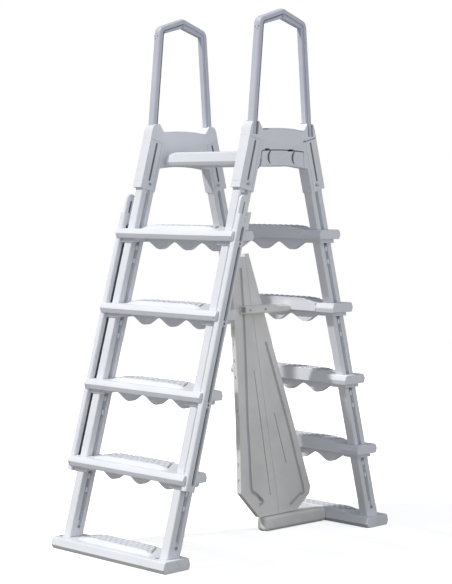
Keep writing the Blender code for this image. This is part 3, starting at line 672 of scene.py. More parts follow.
def tread(k, end):
    """Tread k + 1 of one ladder, counted from the top."""
    name = "tread_%s_%d" % ("front" if end < 0 else "rear", k + 1)
    z = RIDGES[TREADS - 1 - k]
    y_out = mid_line(z, end) + end * TREAD_OUT
    obj = new_piece(name, tread_slab(y_out, z, -end))
    carve(obj, tread_block(y_out, z, -end), "UNION")
    carve(obj, tread_apron(y_out, z, end), "UNION")
    carve(obj, tread_cuts(y_out, z, end))
    soften(obj, 0.0011)
    top = z + TREAD_HALF_H + PLATEAU_RISE
    # The grip dashes are tinted grey as painted shade, for the short shadows they cast.
    dashes = bmesh.new()
    grip(dashes, GRIP_HALF_X, y_out - end * 0.048, -end, TREAD_ROWS, ROW_PITCH, top)
    for n in range(LIP_COUNT):
        x = (n - (LIP_COUNT - 1) / 2) * LIP_PITCH
        dash(dashes, (x, y_out - end * (TREAD_DEPTH - 0.0045), top - arc_drop(x)), LIP_DASH)
    dress(obj, [name], "step_section" if end < 0 else "frame", "resin",
          shade_inserts=[(dashes, SHADE)])


# ---- rails and slide rails ------------------------------------------------------
def groove_section(side, g_low, g_high, depth):
    """Rail section (x, v) with a groove on both side faces and a fine line beside it."""
    face = RAIL_W / 2
    edge = RAIL_D / 2
    outer = [(face - CHAMFER, -edge), (face, CHAMFER - edge), (face, g_low),
             (face - depth, g_low + 0.0012), (face - depth, g_high - 0.0012), (face, g_high),
             (face, LINE_V - 0.0008), (face - 0.0013, LINE_V), (face, LINE_V + 0.0008),
             (face, edge - CHAMFER), (face - CHAMFER, edge)]
    section = outer + [(-x, v) for x, v in reversed(outer)]
    return [(side * RAIL_X + x, v) for x, v in section]


def rail(side, hand, end):
    """Side rail with its grooves, height holes and studs."""
    name = "rail_%s_%s" % ("front" if end < 0 else "rear", hand)
    x0, x1 = RAIL_X - RAIL_W / 2, RAIL_X + RAIL_W / 2
    rings = []
    shut = groove_section(side, GROOVE_V - 0.0015, GROOVE_V + 0.0035, 0.00005)
    groove = groove_section(side, GROOVE_V - GROOVE_HALF, GROOVE_V + GROOVE_HALF, GROOVE_DEEP)
    for section, stations in ((shut, (("z", RAIL_FOOT_Z), ("t", 0.072))),
                              (groove, (("t", 0.094), ("t", 1.278))),
                              (shut, (("t", 1.300), ("t", RAIL_TOP_T)))):
        rings += lean_rings(section, end, stations)
    obj = new_piece(name, body_of(rings))
    holes = bmesh.new()
    for k in range(HOLE_COUNT):
        lean_prism(holes, disc(HOLE_V, HOLE_FIRST + HOLE_PITCH * k, HOLE_R, 12), end, side,
                   x0 - BITE, x1 + BITE)
    if end < 0:
        for lift in (0.0, LATCH_LIFT):
            latch_hole(holes, side, 0.247, x1 + BITE, lift)
    carve(obj, holes)
    soften(obj, 0.0012)
    extra = bmesh.new()
    for ridge in RIDGES:
        for drop in STUD_DROPS:
            t = t_at(ridge - drop, 0.0)
            for x in (x0, x1):
                lean_prism(extra, pill(GROOVE_V, t - 0.009, t + 0.009, 0.0050), end, side,
                           *sorted((x, RAIL_X + (x - RAIL_X) * 0.45)))
    # Painted shade: a grey insert on the floor of each side groove.
    shade_insert = bmesh.new()
    lean_block(shade_insert, end, side, (x0 + 0.0104, x1 - 0.0104), (-0.0095, 0.0055),
               (("t", 0.096), ("t", 1.276)))
    dress(obj, [name], "frame", "resin", extra, [(shade_insert, SHADE)])


def slide_rail(side, hand):
    """Outboard rail of the sliding section, with a tongue on top and a latch housing."""
    name = "slide_rail_" + hand
    x0, x1 = SLIDE_X
    v0, v1 = SLIDE_V
    c = SLIDE_CORNER
    wide = SLIDE_GROOVE_W / 2
    section = [(x0 + c, v0), (x1 - c, v0), (x1, v0 + c), (x1, 0.0052), (x1 - 0.0016, 0.0060),
               (x1, 0.0068), (x1, SLIDE_GROOVE_V - wide), (x1, SLIDE_GROOVE_V + wide),
               (x1, 0.0292), (x1 - 0.0014, 0.0302), (x1, 0.0312), (x1, v1 - c), (x1 - c, v1),
               (x0 + c, v1), (x0, v1 - c), (x0, v0 + c)]
    if side < 0:
        section = [(-x, v) for x, v in reversed(section)]
    obj = new_object(name + "_fine",
                     body_of(lean_rings(section, -1, (("t", SLIDE_T[0]), ("t", SLIDE_T[1])))))
    housing = bmesh.new()
    lean_block(housing, -1, side, (x0 + 0.0015, x1 - 0.0006), (HOUSING_V, v0 + 0.008),
               (("z", HOUSING_Z[0]), ("z", HOUSING_Z[1])))
    carve(obj, housing, "UNION")
    tongue = bmesh.new()
    low, high = v0 + 0.001, v1 - 0.001
    mid = (low + high) / 2
    radius = (high - low) / 2
    outline = [(low, SLIDE_T[1] - BITE), (high, SLIDE_T[1] - BITE)]
    outline += arc(mid, TONGUE_T - radius, radius, 0.0, 180.0 / 14, 15)
    lean_prism(tongue, outline, -1, side, *TONGUE_X)
    carve(obj, tongue, "UNION")
    cutters = bmesh.new()
    # Painted shade: near-black inserts on the floors of the grooves and of the tongue's slot.
    shade_insert = bmesh.new()
    for k, ridge in enumerate(RIDGES):
        top = RIDGES[k + 1] - 0.034 if k + 1 < TREADS else SLIDE_TOP_Z
        for v, half, near, far in ((SLIDE_GROOVE_V, SLIDE_GROOVE_W / 2, x1 - 0.009, x1 + BITE),
                                   (SLIDE_BACK_V, 0.0095, x0 - BITE, x0 + 0.011)):
            lean_prism(cutters, pill(v, t_at(ridge - 0.020, v), t_at(top, v), half), -1, side,
                       near, far)
        low, high = ridge - 0.018, top - (0.002 if k + 1 < TREADS else 0.004)
        for v, half, near in ((SLIDE_GROOVE_V, 0.0056, x1 - 0.0095),
                              (SLIDE_BACK_V, 0.0088, x0 + 0.0100)):
            lean_prism(shade_insert, pill(v, t_at(low, v), t_at(high, v), half), -1, side,
                       near, near + 0.0015)
    lean_prism(cutters, pill(SLOT_V, SLOT_T[0], SLOT_T[1], SLOT_W / 2), -1, side,
               TONGUE_X[0] - BITE, TONGUE_X[1] + 2 * BITE)
    lean_prism(shade_insert, pill(SLOT_V, SLOT_T[0] + 0.0006, SLOT_T[1] - 0.0006, SLOT_W / 2 - FIT), -1,
               side, TONGUE_X[0] + FIT, TONGUE_X[0] + 0.0014)
    latch_hole(cutters, side, x0 - BITE, x1 + BITE)
    point = lean(0.0, LATCH_V, t_at(LATCH_Z, LATCH_V), -1)
    h = LATCH_H / 2 + 0.0006
    a, b = side_span(side, x0 - BITE, TAB_X[1] + 0.001)
    box(cutters, (a, point[1], point[2] - h), (b, point[1] + 0.05, point[2] + h))
    for ridge in RIDGES:
        for height in (-0.0185, -0.034):
            t = t_at(ridge + height, SLIDE_GROOVE_V)
            lean_block(cutters, -1, side, (x1 - 0.0012, x1 + BITE), (v0 - BITE, v1 + BITE),
                       (("t", t - 0.0006), ("t", t + 0.0006)))
    carve(obj, cutters)
    soften(obj, 0.0010)
    extra = bmesh.new()
    for ridge in RIDGES[1:]:
        t = t_at(ridge - 0.026, SLIDE_GROOVE_V)
        lean_prism(extra, disc(SLIDE_GROOVE_V, t, 0.0040, 14), -1, side, x1 - 0.001, x1)
    dress(obj, [name], "step_section", "resin", extra, [(shade_insert, DEEP_SHADE)])


def latch(side, hand):
    """Square cross slide with a finger tab."""
    name = "slide_latch_" + hand
    point = lean(0.0, LATCH_V, t_at(LATCH_Z, LATCH_V), -1)
    y, z = point[1], point[2]
    h = LATCH_H / 2
    bm = bmesh.new()
    a, b = side_span(side, *LATCH_X)
    box(bm, (a, y - h, z - h), (b, y + h, z + h))
    obj = new_piece(name, bm)
    tab = bmesh.new()
    back = lean(0.0, HOUSING_V, t_at(z, HOUSING_V), -1)[1]
    a, b = side_span(side, *TAB_X)
    box(tab, (a, y, z - h + 0.001), (b, back + 0.004, z + h - 0.001))
    carve(obj, tab, "UNION")
    soften(obj, 0.0016, 3)
    extra = bmesh.new()
    for k in range(3):
        a, b = side_span(side, LATCH_X[1] - 0.0006, LATCH_X[1] - 0.0001)
        box(extra, (a, y - 0.0035, z - 0.0032 + 0.0026 * k), (b, y + 0.0035, z - 0.0020 + 0.0026 * k))
    dress(obj, [name], "latch_" + hand, "resin", extra)


# ---- casings, saddles, platform, handrails --------------------------------------
def casing(side, hand, end):
    """Sleeve over the top of a rail, with slots and a stepped seam."""
    name = "casing_%s_%s" % ("front" if end < 0 else "rear", hand)
    v0, v1 = CASING_V
    rings = []
    for t, grow in ((CASING_T[0], 0.0), (CASING_T[0] + 0.020, 0.0), (CASING_T[0] + 0.0215, -0.0012),
                    (CASING_T[0] + 0.0230, 0.0), (CASING_T[1], 0.0)):
        x0, x1 = CASING_X - CASING_HALF_W - grow, CASING_X + CASING_HALF_W + grow
        section = [(x0, v0 - grow), (x1, v0 - grow), (x1, v1 + grow), (x0, v1 + grow)]
        rings += lean_rings([(side * x, v) for x, v in section], end, (("t", t),))
    obj = new_piece(name, body_of(rings))
    cutters = bmesh.new()
    rail_socket(cutters, end, side, FIT, FIT,
                (("t", CASING_T[0] - 2 * BITE), ("t", RAIL_TOP_T + FIT)))
    carve(obj, cutters)
    cutters = bmesh.new()
    # Painted shade: near-black inserts inside the slots on both faces.
    shade_insert = bmesh.new()
    v = CASING_SLOT_V
    near, far = CASING_X - CASING_HALF_W, CASING_X + CASING_HALF_W
    low, high = t_at(CASING_SLOT_Z[0], v), t_at(CASING_SLOT_Z[1], v)
    for face, inward in ((far, -0.0040), (near, 0.0009)):
        span = sorted((face + inward, face - inward * 3.0))
        lean_prism(cutters, pill(v, low, high, 0.0044), end, side, *span)
        lean_prism(cutters, disc(0.008, t_at(1.260, 0.008), 0.0034), end, side, *span)
        lean_prism(shade_insert, pill(v, low + FIT, high - FIT, 0.0042), end, side,
                   *sorted((face + inward * 1.1, face + inward * 0.7)))
    seam = [(v1 + BITE, t_at(1.431, v1)), (0.012, t_at(1.417, 0.012)),
            (-0.0185, t_at(1.411, -0.0185)), (-0.0200, CASING_T[0] - BITE)]
    for span in ((near - BITE, near + 0.0014), (far - 0.0014, far + BITE)):
        lean_prism(cutters, strip(seam, 0.0022), end, side, *span)
    carve(obj, cutters)
    soften(obj, 0.0008)
    dress(obj, [name], "frame", "resin", shade_inserts=[(shade_insert, DEEP_SHADE)])


def post_line(z, inset=0.0):
    """y of the front post's outer edge at height z, or this far inside it."""
    slope = (POST_FOOT[0] - POST_CORNER[0]) / (POST_CORNER[1] - POST_FOOT[1])
    return -(POST_FOOT[0] - slope * (z - POST_FOOT[1])) + inset


def saddle_outline():
    """(y, z) outline of the side frame: two horns for the posts over a low arch."""
    inner = lean(0.0, CASING_V[0] - FIT, t_at(1.319, CASING_V[0]), -1)
    corner = lean(0.0, CASING_V[0] - FIT, CASING_T[1] + FIT, -1)
    shoulder = lean(0.0, CASING_V[1], CASING_T[1] + FIT, -1)
    crown = [(-0.1660, 1.4530), (-0.1610, 1.4660), (-0.1560, 1.4740), (-0.1470, 1.4790),
             (-0.1270, 1.4800), (-0.1170, 1.4660), (-0.1080, 1.4530), (-0.0900, 1.4525),
             (-0.0500, 1.4562)]
    half = [(inner[1], 1.319), (corner[1], corner[2]), (shoulder[1], shoulder[2])] + crown
    other = [(-y, z) for y, z in reversed(half)]
    arch = []
    for k in range(1, 10):
        y = 0.10 - 0.02 * k
        arch.append((y, 1.3275 - 0.0085 * (abs(y) / 0.13) ** 2))
    return half + [(0.0, 1.4575)] + other + arch


def arch_over(z, rise, y):
    """Height of a shallow arch of the given rise at a distance y from the middle."""
    return z + rise * math.cos(0.5 * math.pi * y / 0.11)


def saddle_marks():
    """(y, z) outlines of the lines and finger notches cut into a saddle's outer face; their dark
    floors are painted shade.
    """
    marks = []
    for y in MOON_Y:
        marks.append(crescent(arc(y, MOON_Z, MOON_R, 118.0, 10.0, 13), 0.0110))
        bump = -0.082 if y < 0.0 else 0.040
        marks.append([(bump - 0.015, BROW_Z - 0.0005), (bump - 0.012, BROW_Z + 0.0075),
                      (bump + 0.012, BROW_Z + 0.0080), (bump + 0.015, BROW_Z + 0.0005)])
    marks.append(strip([(-0.1205, 1.3160), (-0.1070, BROW_Z + 0.0005)], 0.0080))
    brim = []
    for k in range(13):
        y = -0.105 + 0.0175 * k
        brim.append((y, arch_over(BROW_Z, 0.0040, y)))
    marks.append(strip(brim, 0.0036))
    for end in (-1, 1):
        marks.append(strip([(-end * post_line(z, 0.0205), z) for z in (1.4300, 1.470)], 0.0050))
    marks.append(strip([(-0.1065, 1.4505), (-0.0700, 1.4525)], 0.0036))
    edge = []
    for z in (1.322, 1.418):
        inner = lean(0.0, CASING_V[0] - 0.0020, t_at(z, CASING_V[0]), -1)
        edge.append((EDGE_SHIFT - inner[1], z))
    marks.append(strip(edge, 0.0058))
    top = CASING_T[1] + 3 * FIT
    marks.append(strip([lean(0.0, v, top, 1)[1:] for v in CASING_V], 0.0034))
    return marks


def saddle(side, hand):
    """Side frame that joins two sleeves and holds a handrail."""
    bm = bmesh.new()
    extrude_x(bm, saddle_outline(), *side_span(side, *SADDLE_X))
    obj = new_piece("saddle_" + hand, bm)
    outer = side * SADDLE_X[1]
    floor = outer - side * RECESS_DEPTH
    cutters = bmesh.new()
    recess = [(-0.1120, 1.3100), (0.1120, 1.3100), (0.1075, BROW_Z)]
    for k in range(9):
        y = 0.095 - 0.02375 * k
        recess.append((y, arch_over(BROW_Z + 0.0015, 0.0035, y)))
    recess.append((-0.1075, BROW_Z))
    extrude_x(cutters, recess, *sorted((floor, outer + side * BITE)))
    for end in (-1, 1):
        low, high = POST_FOOT[1] - FIT, 1.50
        outline = [(-end * post_line(z, -FIT), z) for z in (low, high)]
        outline += [(-end * post_line(z, POST_T + 2 * FIT), z) for z in (high, low)]
        extrude_x(cutters, outline,
                  *side_span(side, POST_X - POST_W / 2 - FIT, SADDLE_X[1] + BITE))
    carve(obj, cutters)
    # Each mark is cut as a groove and given a near-black floor as painted shade.
    shade_insert = bmesh.new()
    for outline in saddle_marks():
        cutters = bmesh.new()
        extrude_x(cutters, outline, *sorted((floor - side * 0.0060, floor + side * 0.0045)))
        carve(obj, cutters)
        extrude_x(shade_insert, outline, *sorted((floor - side * 0.0061, floor - side * 0.0035)))
    cutters = bmesh.new()
    brow = [(-0.104, 1.4475), (-0.05, 1.4510), (0.0, 1.4522), (0.05, 1.4510), (0.104, 1.4475)]
    extrude_x(cutters, strip(smooth_path(brow), 0.0014),
              *sorted((outer - side * 0.0012, outer + side * BITE)))
    carve(obj, cutters)
    soften(obj, 0.0018, 3)
    dress(obj, ["saddle_" + hand], "frame", "resin", shade_inserts=[(shade_insert, DEEP_SHADE)])


def platform():
    """Flat top step with ears that enter the saddles."""
    h = PLAT_HALF_Y
    outline = [(-h, PLAT_RIDGE), (-h + 0.0050, PLAT_BOTTOM + 0.0035), (-h + 0.0085, PLAT_BOTTOM),
               (h - 0.0085, PLAT_BOTTOM), (h - 0.0050, PLAT_BOTTOM + 0.0035), (h, PLAT_RIDGE),
               (h - 0.005, PLAT_TOP - 0.004), (h - 0.012, PLAT_TOP), (-h + 0.012, PLAT_TOP),
               (-h + 0.005, PLAT_TOP - 0.004)]
    rings = []
    for x, drop in ((-PLAT_LIP_X, 0.009), (-PLAT_LIP_X + 0.040, 0.0),
                    (PLAT_LIP_X - 0.040, 0.0), (PLAT_LIP_X, 0.009)):
        rings.append([(x, y, z - drop if z > PLAT_RIDGE else z) for y, z in outline])
    obj = new_piece("platform", body_of(rings))
    ears = bmesh.new()
    for side in (-1, 1):
        a, b = side_span(side, PLAT_LIP_X - 0.004, 0.2221)
        box(ears, (a, -0.090, PLAT_BOTTOM + 0.003), (b, 0.090, PLAT_TOP - 0.012))
    carve(obj, ears, "UNION")
    cutters = bmesh.new()
    for side in (-1, 1):
        box(cutters, (-0.30, side * (h - 0.026) - 0.0008, PLAT_TOP - 0.0012),
            (0.30, side * (h - 0.026) + 0.0008, PLAT_TOP + 0.01))
    carve(obj, cutters)
    soften(obj, 0.0013)
    # The grip dashes are tinted grey as painted shade, for the short shadows they cast.
    extra = bmesh.new()
    grip(extra, 0.165, -PLAT_ROW_PITCH * (PLAT_ROWS - 1) / 2, 1, PLAT_ROWS, PLAT_ROW_PITCH, PLAT_TOP,
         False)
    dress(obj, ["platform"], "frame", "resin", shade_inserts=[(extra, SHADE)])


def handrail_path():
    """(y, z) points of the loop's outer edge, up the front post and down the rear one."""
    front = Vector((-POST_FOOT[0], POST_FOOT[1]))
    corner = Vector((-POST_CORNER[0], POST_CORNER[1]))
    apex = Vector((0.0, POST_APEX_Z))
    down = (front - corner).normalized()
    up = (apex - corner).normalized()
    path = [tuple(front)]
    start = corner + down * 0.022
    stop = corner + up * 0.022
    for i in range(9):
        s = i / 8
        point = start * (1 - s) ** 2 + corner * 2 * s * (1 - s) + stop * s ** 2
        path.append(tuple(point))
    for k in range(4):
        y = -0.016 + 0.005 * k
        path.append((y, POST_APEX_Z - 0.0002 - 0.0045 * (abs(y) / 0.016) ** 1.5))
    rest = [(-y, z) for y, z in reversed(path)]
    return path + rest


def sweep(section, side, first=0, last=None):
    """Carry an (x, n) section round the loop; n is the depth in from the outer edge."""
    path = handrail_path()
    rings = []
    for i, (here, mid, share) in enumerate(bends(path)):
        if i in (0, len(path) - 1):
            level = Vector((-1.0 if i == 0 else 1.0, 0.0))
            share = abs(level.dot(mid))
            mid = level
        near_top = max(0.0, 1.0 - abs(here.x) / (POST_CORNER[0] - 0.014))
        deep = POST_T + (CROWN_T - POST_T) * min(1.0, near_top * 1.6 + 0.35 * (near_top > 0.0))
        ring = []
        for x, n, from_back in section:
            q = here - mid * ((deep - n if from_back else n) / share)
            ring.append((side * (POST_X + x), q.x, q.y))
        rings.append(ring)
    return body_of(rings[first:last])


def round_corner(w, k):
    """(x, n) of step k of 6 round a post's outer edge of half width w."""
    a = 0.5 * math.pi * k / 6
    return (w - POST_ROUND[0] * (1.0 - math.sin(a)), POST_ROUND[1] * (1.0 - math.cos(a)))


def handrail(side, hand):
    """Looped handrail with a stepped section; its dark inner edges and rim are painted shade."""
    name = "handrail_" + hand
    w = POST_W / 2
    half = []
    for k in range(7):
        half.append((*round_corner(w, k), False))
    half += [(w, 0.0165, False), (w - 0.0008, 0.0172, False), (w - STEP_IN, POST_STEP, False),
             (w - STEP_IN, 0.0010, True), (w - STEP_IN - 0.0010, 0.0, True)]
    section = half + [(-x, n, from_back) for x, n, from_back in reversed(half)]
    obj = new_piece(name, sweep(section, side))
    soften(obj, 0.0008)
    # Painted shade: near-black strips along the inner edges, near the crown and on the rear post's
    # rim; three dark dots sit where the screws are.
    band = w - STEP_IN + 0.0012
    start = POST_STEP + 0.0002
    inner_edge = [(band, start, False), (band, 0.0008, True), (-band, 0.0008, True),
                  (-band, start, False)]
    shade_insert = sweep(inner_edge, side, 0, 9)
    line = [(band, start, False), (band, 0.0210, False), (-band, 0.0210, False),
            (-band, start, False)]
    pour(shade_insert, sweep(line, side, 8, 14))
    rim = [(*round_corner(w + 0.0003, k), False) for k in range(1, 5)]
    rim += [(-x, n, from_back) for x, n, from_back in reversed(rim)]
    pour(shade_insert, sweep(rim, side, -9))
    for dx, z in POST_DOTS:
        y = post_line(z)
        x = side * (POST_X + dx)
        box(shade_insert, (x - 0.0018, y - 0.0006, z - 0.0018), (x + 0.0018, y + 0.004, z + 0.0018))
    dress(obj, [name], "frame", "handrail_resin", shade_inserts=[(shade_insert, DEEP_SHADE)])


# ---- bases ----------------------------------------------------------------------
def base(end):
    """Floor bar that joins two rails, with its own grip block."""
    name = "base_front" if end < 0 else "base_rear"
    h = BASE_HALF_Y
    centre = end * BASE_Y
    outline = [(-h + 0.0100, 0.0), (-h + 0.0080, 0.0015), (-h + 0.0012, 0.0130), (-h, 0.0140),
               (-h + 0.0065, BASE_H - 0.003), (-h + 0.011, BASE_H), (h - 0.011, BASE_H),
               (h - 0.0065, BASE_H - 0.003), (h, 0.0140), (h - 0.0012, 0.0130),
               (h - 0.0080, 0.0015), (h - 0.0100, 0.0)]
    rings = []
    for x, wide in ((-BASE_HALF_X, 0.955), (-BASE_HALF_X + 0.005, 1.0),
                    (BASE_HALF_X - 0.005, 1.0), (BASE_HALF_X, 0.955)):
        rings.append([(x, centre + y * wide, z) for y, z in outline])
    obj = new_piece(name, body_of(rings))
    rings = []
    for x, part in plateau_stations():
        top = BASE_H + block_lift(part)
        rings.append([(x, centre + end * y, z) for y, z in (
            (0.012, 0.020), (-h + 0.0055, 0.020), (-h + 0.0055, top - 0.002), (-h + 0.0085, top),
            (0.017, top), (0.027, BASE_H - 0.0006))])
    carve(obj, body_of(rings), "UNION")
    cutters = bmesh.new()
    # Painted shade: near-black floors in the pockets beside the rails.
    pocket_shade = bmesh.new()
    for side in (-1, 1):
        rail_socket(cutters, end, side, 0.0008, 0.0012, (("z", RAIL_FOOT_Z), ("z", 0.06)))
        a = side * RAIL_X - RAIL_W / 2 - 0.018
        b = side * RAIL_X - RAIL_W / 2 + 0.002
        y = mid_line(BASE_H, end) + end * 0.030
        y0, y1 = sorted((y - end * 0.012, y + end * 0.008))
        box(cutters, (a, y0, BASE_H - 0.014), (b, y1, BASE_H + 0.01))
        box(pocket_shade, (a + FIT, y0 + FIT, BASE_H - 0.0142), (b - FIT, y1 - FIT, BASE_H - 0.009))
    for side in (-1, 1):
        a, b = side_span(side, BASE_HALF_X - 0.003, BASE_HALF_X + 0.02)
        extrude_x(cutters, disc(centre, 0.0195, 0.0100, 24), a, b)
    carve(obj, cutters)
    soften(obj, 0.0013)
    extra = bmesh.new()
    # The grip dashes are tinted grey as painted shade, for the short shadows they cast.
    pads = bmesh.new()
    grip(pads, GRIP_HALF_X, centre + end * 0.007, -end, TREAD_ROWS, ROW_PITCH, BASE_H + PLATEAU_RISE)
    for side in (-1, 1):
        a, b = side_span(side, BASE_HALF_X - 0.0035, BASE_HALF_X - 0.0008)
        extrude_x(extra, disc(centre, 0.0195, 0.0088, 24), a, b)
    dress(obj, [name], "frame", "resin", extra, [(pads, SHADE), (pocket_shade, DEEP_SHADE)])


# ---- barrier --------------------------------------------------------------------
def panel_half(name, outline, paths, notch_edges=()):
    """Flat panel with grooves on both faces and rows of notches along some edges."""
    x0, x1 = BAR_X
    bm = bmesh.new()
    extrude_x(bm, outline, x0, x1)
    obj = new_piece(name, bm)
    cutters = bmesh.new()
    # Painted shade: a grey insert on the floor of every groove.
    shade_insert = bmesh.new()
    for path, width in paths:
        ring = strip(smooth_path(path), width)
        extrude_x(cutters, ring, x0 - BITE, x0 + 0.0040)
        extrude_x(cutters, ring, x1 - 0.0040, x1 + BITE)
        ring = strip(smooth_path(path), width - 0.0010)
        extrude_x(shade_insert, ring, x0 + 0.0038, x0 + 0.0044)
        extrude_x(shade_insert, ring, x1 - 0.0044, x1 - 0.0038)
    for (ya, za), (yb, zb), count in notch_edges:
        for k in range(count):
            s = (k + 0.5) / count
            y = ya + (yb - ya) * s
            z = za + (zb - za) * s
            box(cutters, (x0 + 0.007, y - BITE, z - 0.006), (x1 - 0.007, y + 0.0035, z + 0.006))
    carve(obj, cutters)
    soften(obj, 0.0018, 3)
    dress(obj, [name], "frame", "barrier_resin", shade_inserts=[(shade_insert, SHADE)])


def barrier_panels():
    """The two halves of the panel, which meet along a leaning seam."""
    front = [(SEAM_FOOT[0] - SEAM_GAP, SEAM_FOOT[1]), (0.122, 0.055), (0.024, 0.153),
             (0.0145, 0.41), (-0.0115, 0.729), (-0.033, 1.004),
             (SEAM_TOP[0] - SEAM_GAP, SEAM_TOP[1])]
    rear = [(SEAM_TOP[0] + SEAM_GAP - 0.0018, 1.0130), (0.0545, 1.016), (0.402, 0.134),
            (0.396, 0.108), (0.325, 0.055), (SEAM_FOOT[0] + SEAM_GAP, SEAM_FOOT[1])]
    panel_half("barrier_panel_front", list(reversed(front)), [
        ([(0.015, 0.964), (0.024, 0.870), (0.033, 0.777), (0.045, 0.600), (0.055, 0.423),
          (0.067, 0.290), (0.078, 0.168), (0.100, 0.144), (0.138, 0.113), (0.134, 0.104),
          (0.122, 0.100)], WIDE_GROOVE),
        ([(0.088, 0.592), (0.134, 0.360), (0.180, 0.129)], FINE_GROOVE),
    ], [((-0.030, 0.960), (0.0140, 0.42), 9), ((0.015, 0.40), (0.023, 0.17), 4)])
    panel_half("barrier_panel_rear", rear, [
        ([(0.149, 0.692), (0.212, 0.534), (0.275, 0.375), (0.320, 0.250), (0.362, 0.125),
          (0.340, 0.110), (0.288, 0.079)], WIDE_GROOVE),
        ([(0.197, 0.429), (0.231, 0.333), (0.265, 0.237)], FINE_GROOVE),
    ])


def barrier_foot():
    """Long foot from the rear base to a rounded tip under the panel."""
    y_seat = BASE_Y - BASE_HALF_Y - FIT
    mid = (BAR_X[0] + BAR_X[1]) / 2
    tip = 0.142
    plan = [(mid + 0.040, y_seat), (mid - 0.040, y_seat), (mid - 0.036, y_seat - 0.05)]
    for x, start in ((mid - 0.009, 180), (mid + 0.009, 270)):
        plan += arc(x, tip + 0.015, 0.015, start, 11.25, 9)
    plan.append((mid + 0.036, y_seat - 0.05))
    rings = []
    for z, inset in ((0.0, 0.009), (0.004, 0.004), (0.011, 0.0), (FOOT_TOP - 0.010, 0.0),
                     (FOOT_TOP - 0.004, 0.002), (FOOT_TOP, 0.007)):
        ring = offset_outline(plan, inset) if inset else plan
        rings.append([(x, min(y, y_seat), z) for x, y in ring])
    foot = new_piece("barrier_foot", body_of(rings))
    soften(foot, 0.0015)
    dress(foot, ["barrier_foot"], "frame", "barrier_resin")


def barrier_arm():
    """Arm that holds the panel's upper part, with a recess in its front end."""
    bm = bmesh.new()
    outline = [(ARM_X[0], ARM_Z[0]), (ARM_X[1] - 0.004, ARM_Z[0]), (ARM_X[1], ARM_Z[0] + 0.004),
               (ARM_X[1], ARM_Z[1] - 0.008), (ARM_X[1] - 0.008, ARM_Z[1]), (ARM_X[0], ARM_Z[1])]
    extrude_y(bm, outline, ARM_Y[0], ARM_Y[1])
    arm = new_piece("barrier_arm", bm)
    cutters = bmesh.new()
    box(cutters, (ARM_X[0] + 0.005, ARM_Y[0] - 0.01, ARM_Z[0] + 0.005),
        (ARM_X[1] - 0.005, ARM_Y[0] + 0.018, ARM_Z[1] - 0.005))
    carve(arm, cutters)
    soften(arm, 0.0016, 3)
    dress(arm, ["barrier_arm"], "frame", "barrier_resin")


# ---- small steel parts ----------------------------------------------------------
def fasteners():
    """Finish the bolts, pins and screws of the frame as they are."""
    for name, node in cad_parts.items():
        if any(word in name for word in ("bolt", "pin", "screw")):
            node.data.materials.clear()
            node.data.materials.append(METAL)
            node.data.shade_smooth()
            node.data.set_sharp_from_angle(angle=math.radians(40.0))
            mod = node.modifiers.new("soften", "BEVEL")
            mod.width = 0.0005
            mod.segments = 2
            mod.limit_method = "ANGLE"
            mod.angle_limit = math.radians(45.0)


# ---- floor, light and camera ----------------------------------------------------
FILL = (0.30, 0.98)  # sky strength, level and toward +X
BACK_DIM = 0.16  # how much weaker the sky is toward +Y
KEY = 2.65
KEY_WIDTH = 2.5  # degrees
KEY_AIM = (0.292, 0.573, -0.766)
FLOOR_HALF = 6.0
FLOOR_GLOW = 0.62
LENS = 97.5
LENS_SHIFT = (-0.0035, -0.1136)
CAMERA_AZ = 44.02  # degrees round the ladder from its front
CAMERA_AWAY = 5.672
CAMERA_HEIGHT = 1.204
CAMERA_DIP = 0.902  # degrees below level
CAMERA_ROLL = 0.354


def floor():
    """Plain white floor that takes soft shadows."""
    bm = bmesh.new()
    for x, y in ((-1, -1), (1, -1), (1, 1), (-1, 1)):
        bm.verts.new((x * FLOOR_HALF, y * FLOOR_HALF, -0.0005))
    bm.faces.new(bm.verts[:])
    obj = new_object("floor", bm)
    mat, tree, shader = new_paint("floor_paint")
    shader.inputs["Roughness"].default_value = 0.9
    shader.inputs["Emission Color"].default_value = (1.0, 1.0, 1.0, 1.0)
    shader.inputs["Emission Strength"].default_value = FLOOR_GLOW
    cloud = add_node(tree, "TexNoise", Scale=2.0)
    link(tree, tones(tree, cloud.outputs["Fac"], [0.93] * 3, [0.95] * 3),
         shader.inputs["Base Color"])
    dim = add_node(tree, "BsdfDiffuse", Color=(0.30, 0.29, 0.275, 1.0))
    show_camera(tree, shader.outputs["BSDF"], dim.outputs["BSDF"], "Material Output")
    obj.data.materials.append(mat)


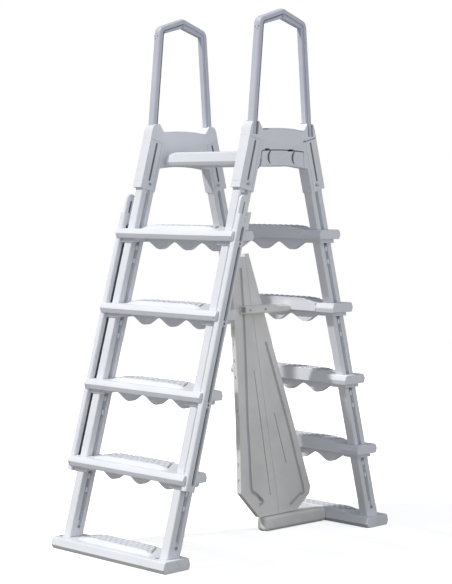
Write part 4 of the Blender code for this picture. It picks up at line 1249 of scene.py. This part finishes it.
def lights():
    """White backdrop, a soft sky that is brighter toward +X, and one wide sun."""
    world = bpy.data.worlds.new("studio")
    world.use_nodes = True
    tree = world.node_tree
    backdrop = tree.nodes["Background"]
    backdrop.inputs["Color"].default_value = (1.0, 1.0, 1.0, 1.0)
    fill = add_node(tree, "Background", Color=(0.93, 0.965, 1.0, 1.0))
    sky = tree.nodes.new("ShaderNodeTexCoord")
    axes = tree.nodes.new("ShaderNodeSeparateXYZ")
    link(tree, sky.outputs["Generated"], axes.inputs["Vector"])
    total = tree.nodes.new("ShaderNodeMath")
    link(tree, spread(tree, axes.outputs["X"], *FILL), total.inputs[0])
    link(tree, spread(tree, axes.outputs["Y"], 0.0, -BACK_DIM), total.inputs[1])
    link(tree, total.outputs["Value"], fill.inputs["Strength"])
    show_camera(tree, backdrop.outputs["Background"], fill.outputs["Background"], "World Output")
    bpy.context.scene.world = world
    bpy.context.scene.view_settings.view_transform = "Standard"
    sun = bpy.data.lights.new("key", "SUN")
    sun.energy = KEY
    sun.color = (1.0, 0.985, 0.96)
    sun.angle = math.radians(KEY_WIDTH)
    obj = bpy.data.objects.new("key", sun)
    obj.rotation_euler = Vector(KEY_AIM).to_track_quat("-Z", "Y").to_euler()
    bpy.context.scene.collection.objects.link(obj)


def camera():
    """Nearly level view from the front right, a little below the platform's height."""
    cam = bpy.data.cameras.new("camera")
    cam.lens = LENS
    cam.shift_x, cam.shift_y = LENS_SHIFT
    obj = bpy.data.objects.new("camera", cam)
    az = math.radians(CAMERA_AZ)
    obj.location = (CAMERA_AWAY * math.sin(az), -CAMERA_AWAY * math.cos(az), CAMERA_HEIGHT)
    heading = Matrix.Rotation(az, 4, "Z")
    tilt = Matrix.Rotation(math.radians(90.0 - CAMERA_DIP), 4, "X")
    roll = Matrix.Rotation(math.radians(CAMERA_ROLL), 4, "Z")
    obj.rotation_euler = (heading @ tilt @ roll).to_euler()
    bpy.context.scene.collection.objects.link(obj)
    bpy.context.scene.camera = obj


# ---- assembly -------------------------------------------------------------------
for end_sign in (-1, 1):
    base(end_sign)
    for index in range(TREADS):
        tread(index, end_sign)
    for side_sign, hand_name in SIDES:
        rail(side_sign, hand_name, end_sign)
        casing(side_sign, hand_name, end_sign)
for side_sign, hand_name in SIDES:
    slide_rail(side_sign, hand_name)
    latch(side_sign, hand_name)
    saddle(side_sign, hand_name)
    handrail(side_sign, hand_name)
platform()
barrier_panels()
barrier_foot()
barrier_arm()
fasteners()
floor()
lights()
camera()
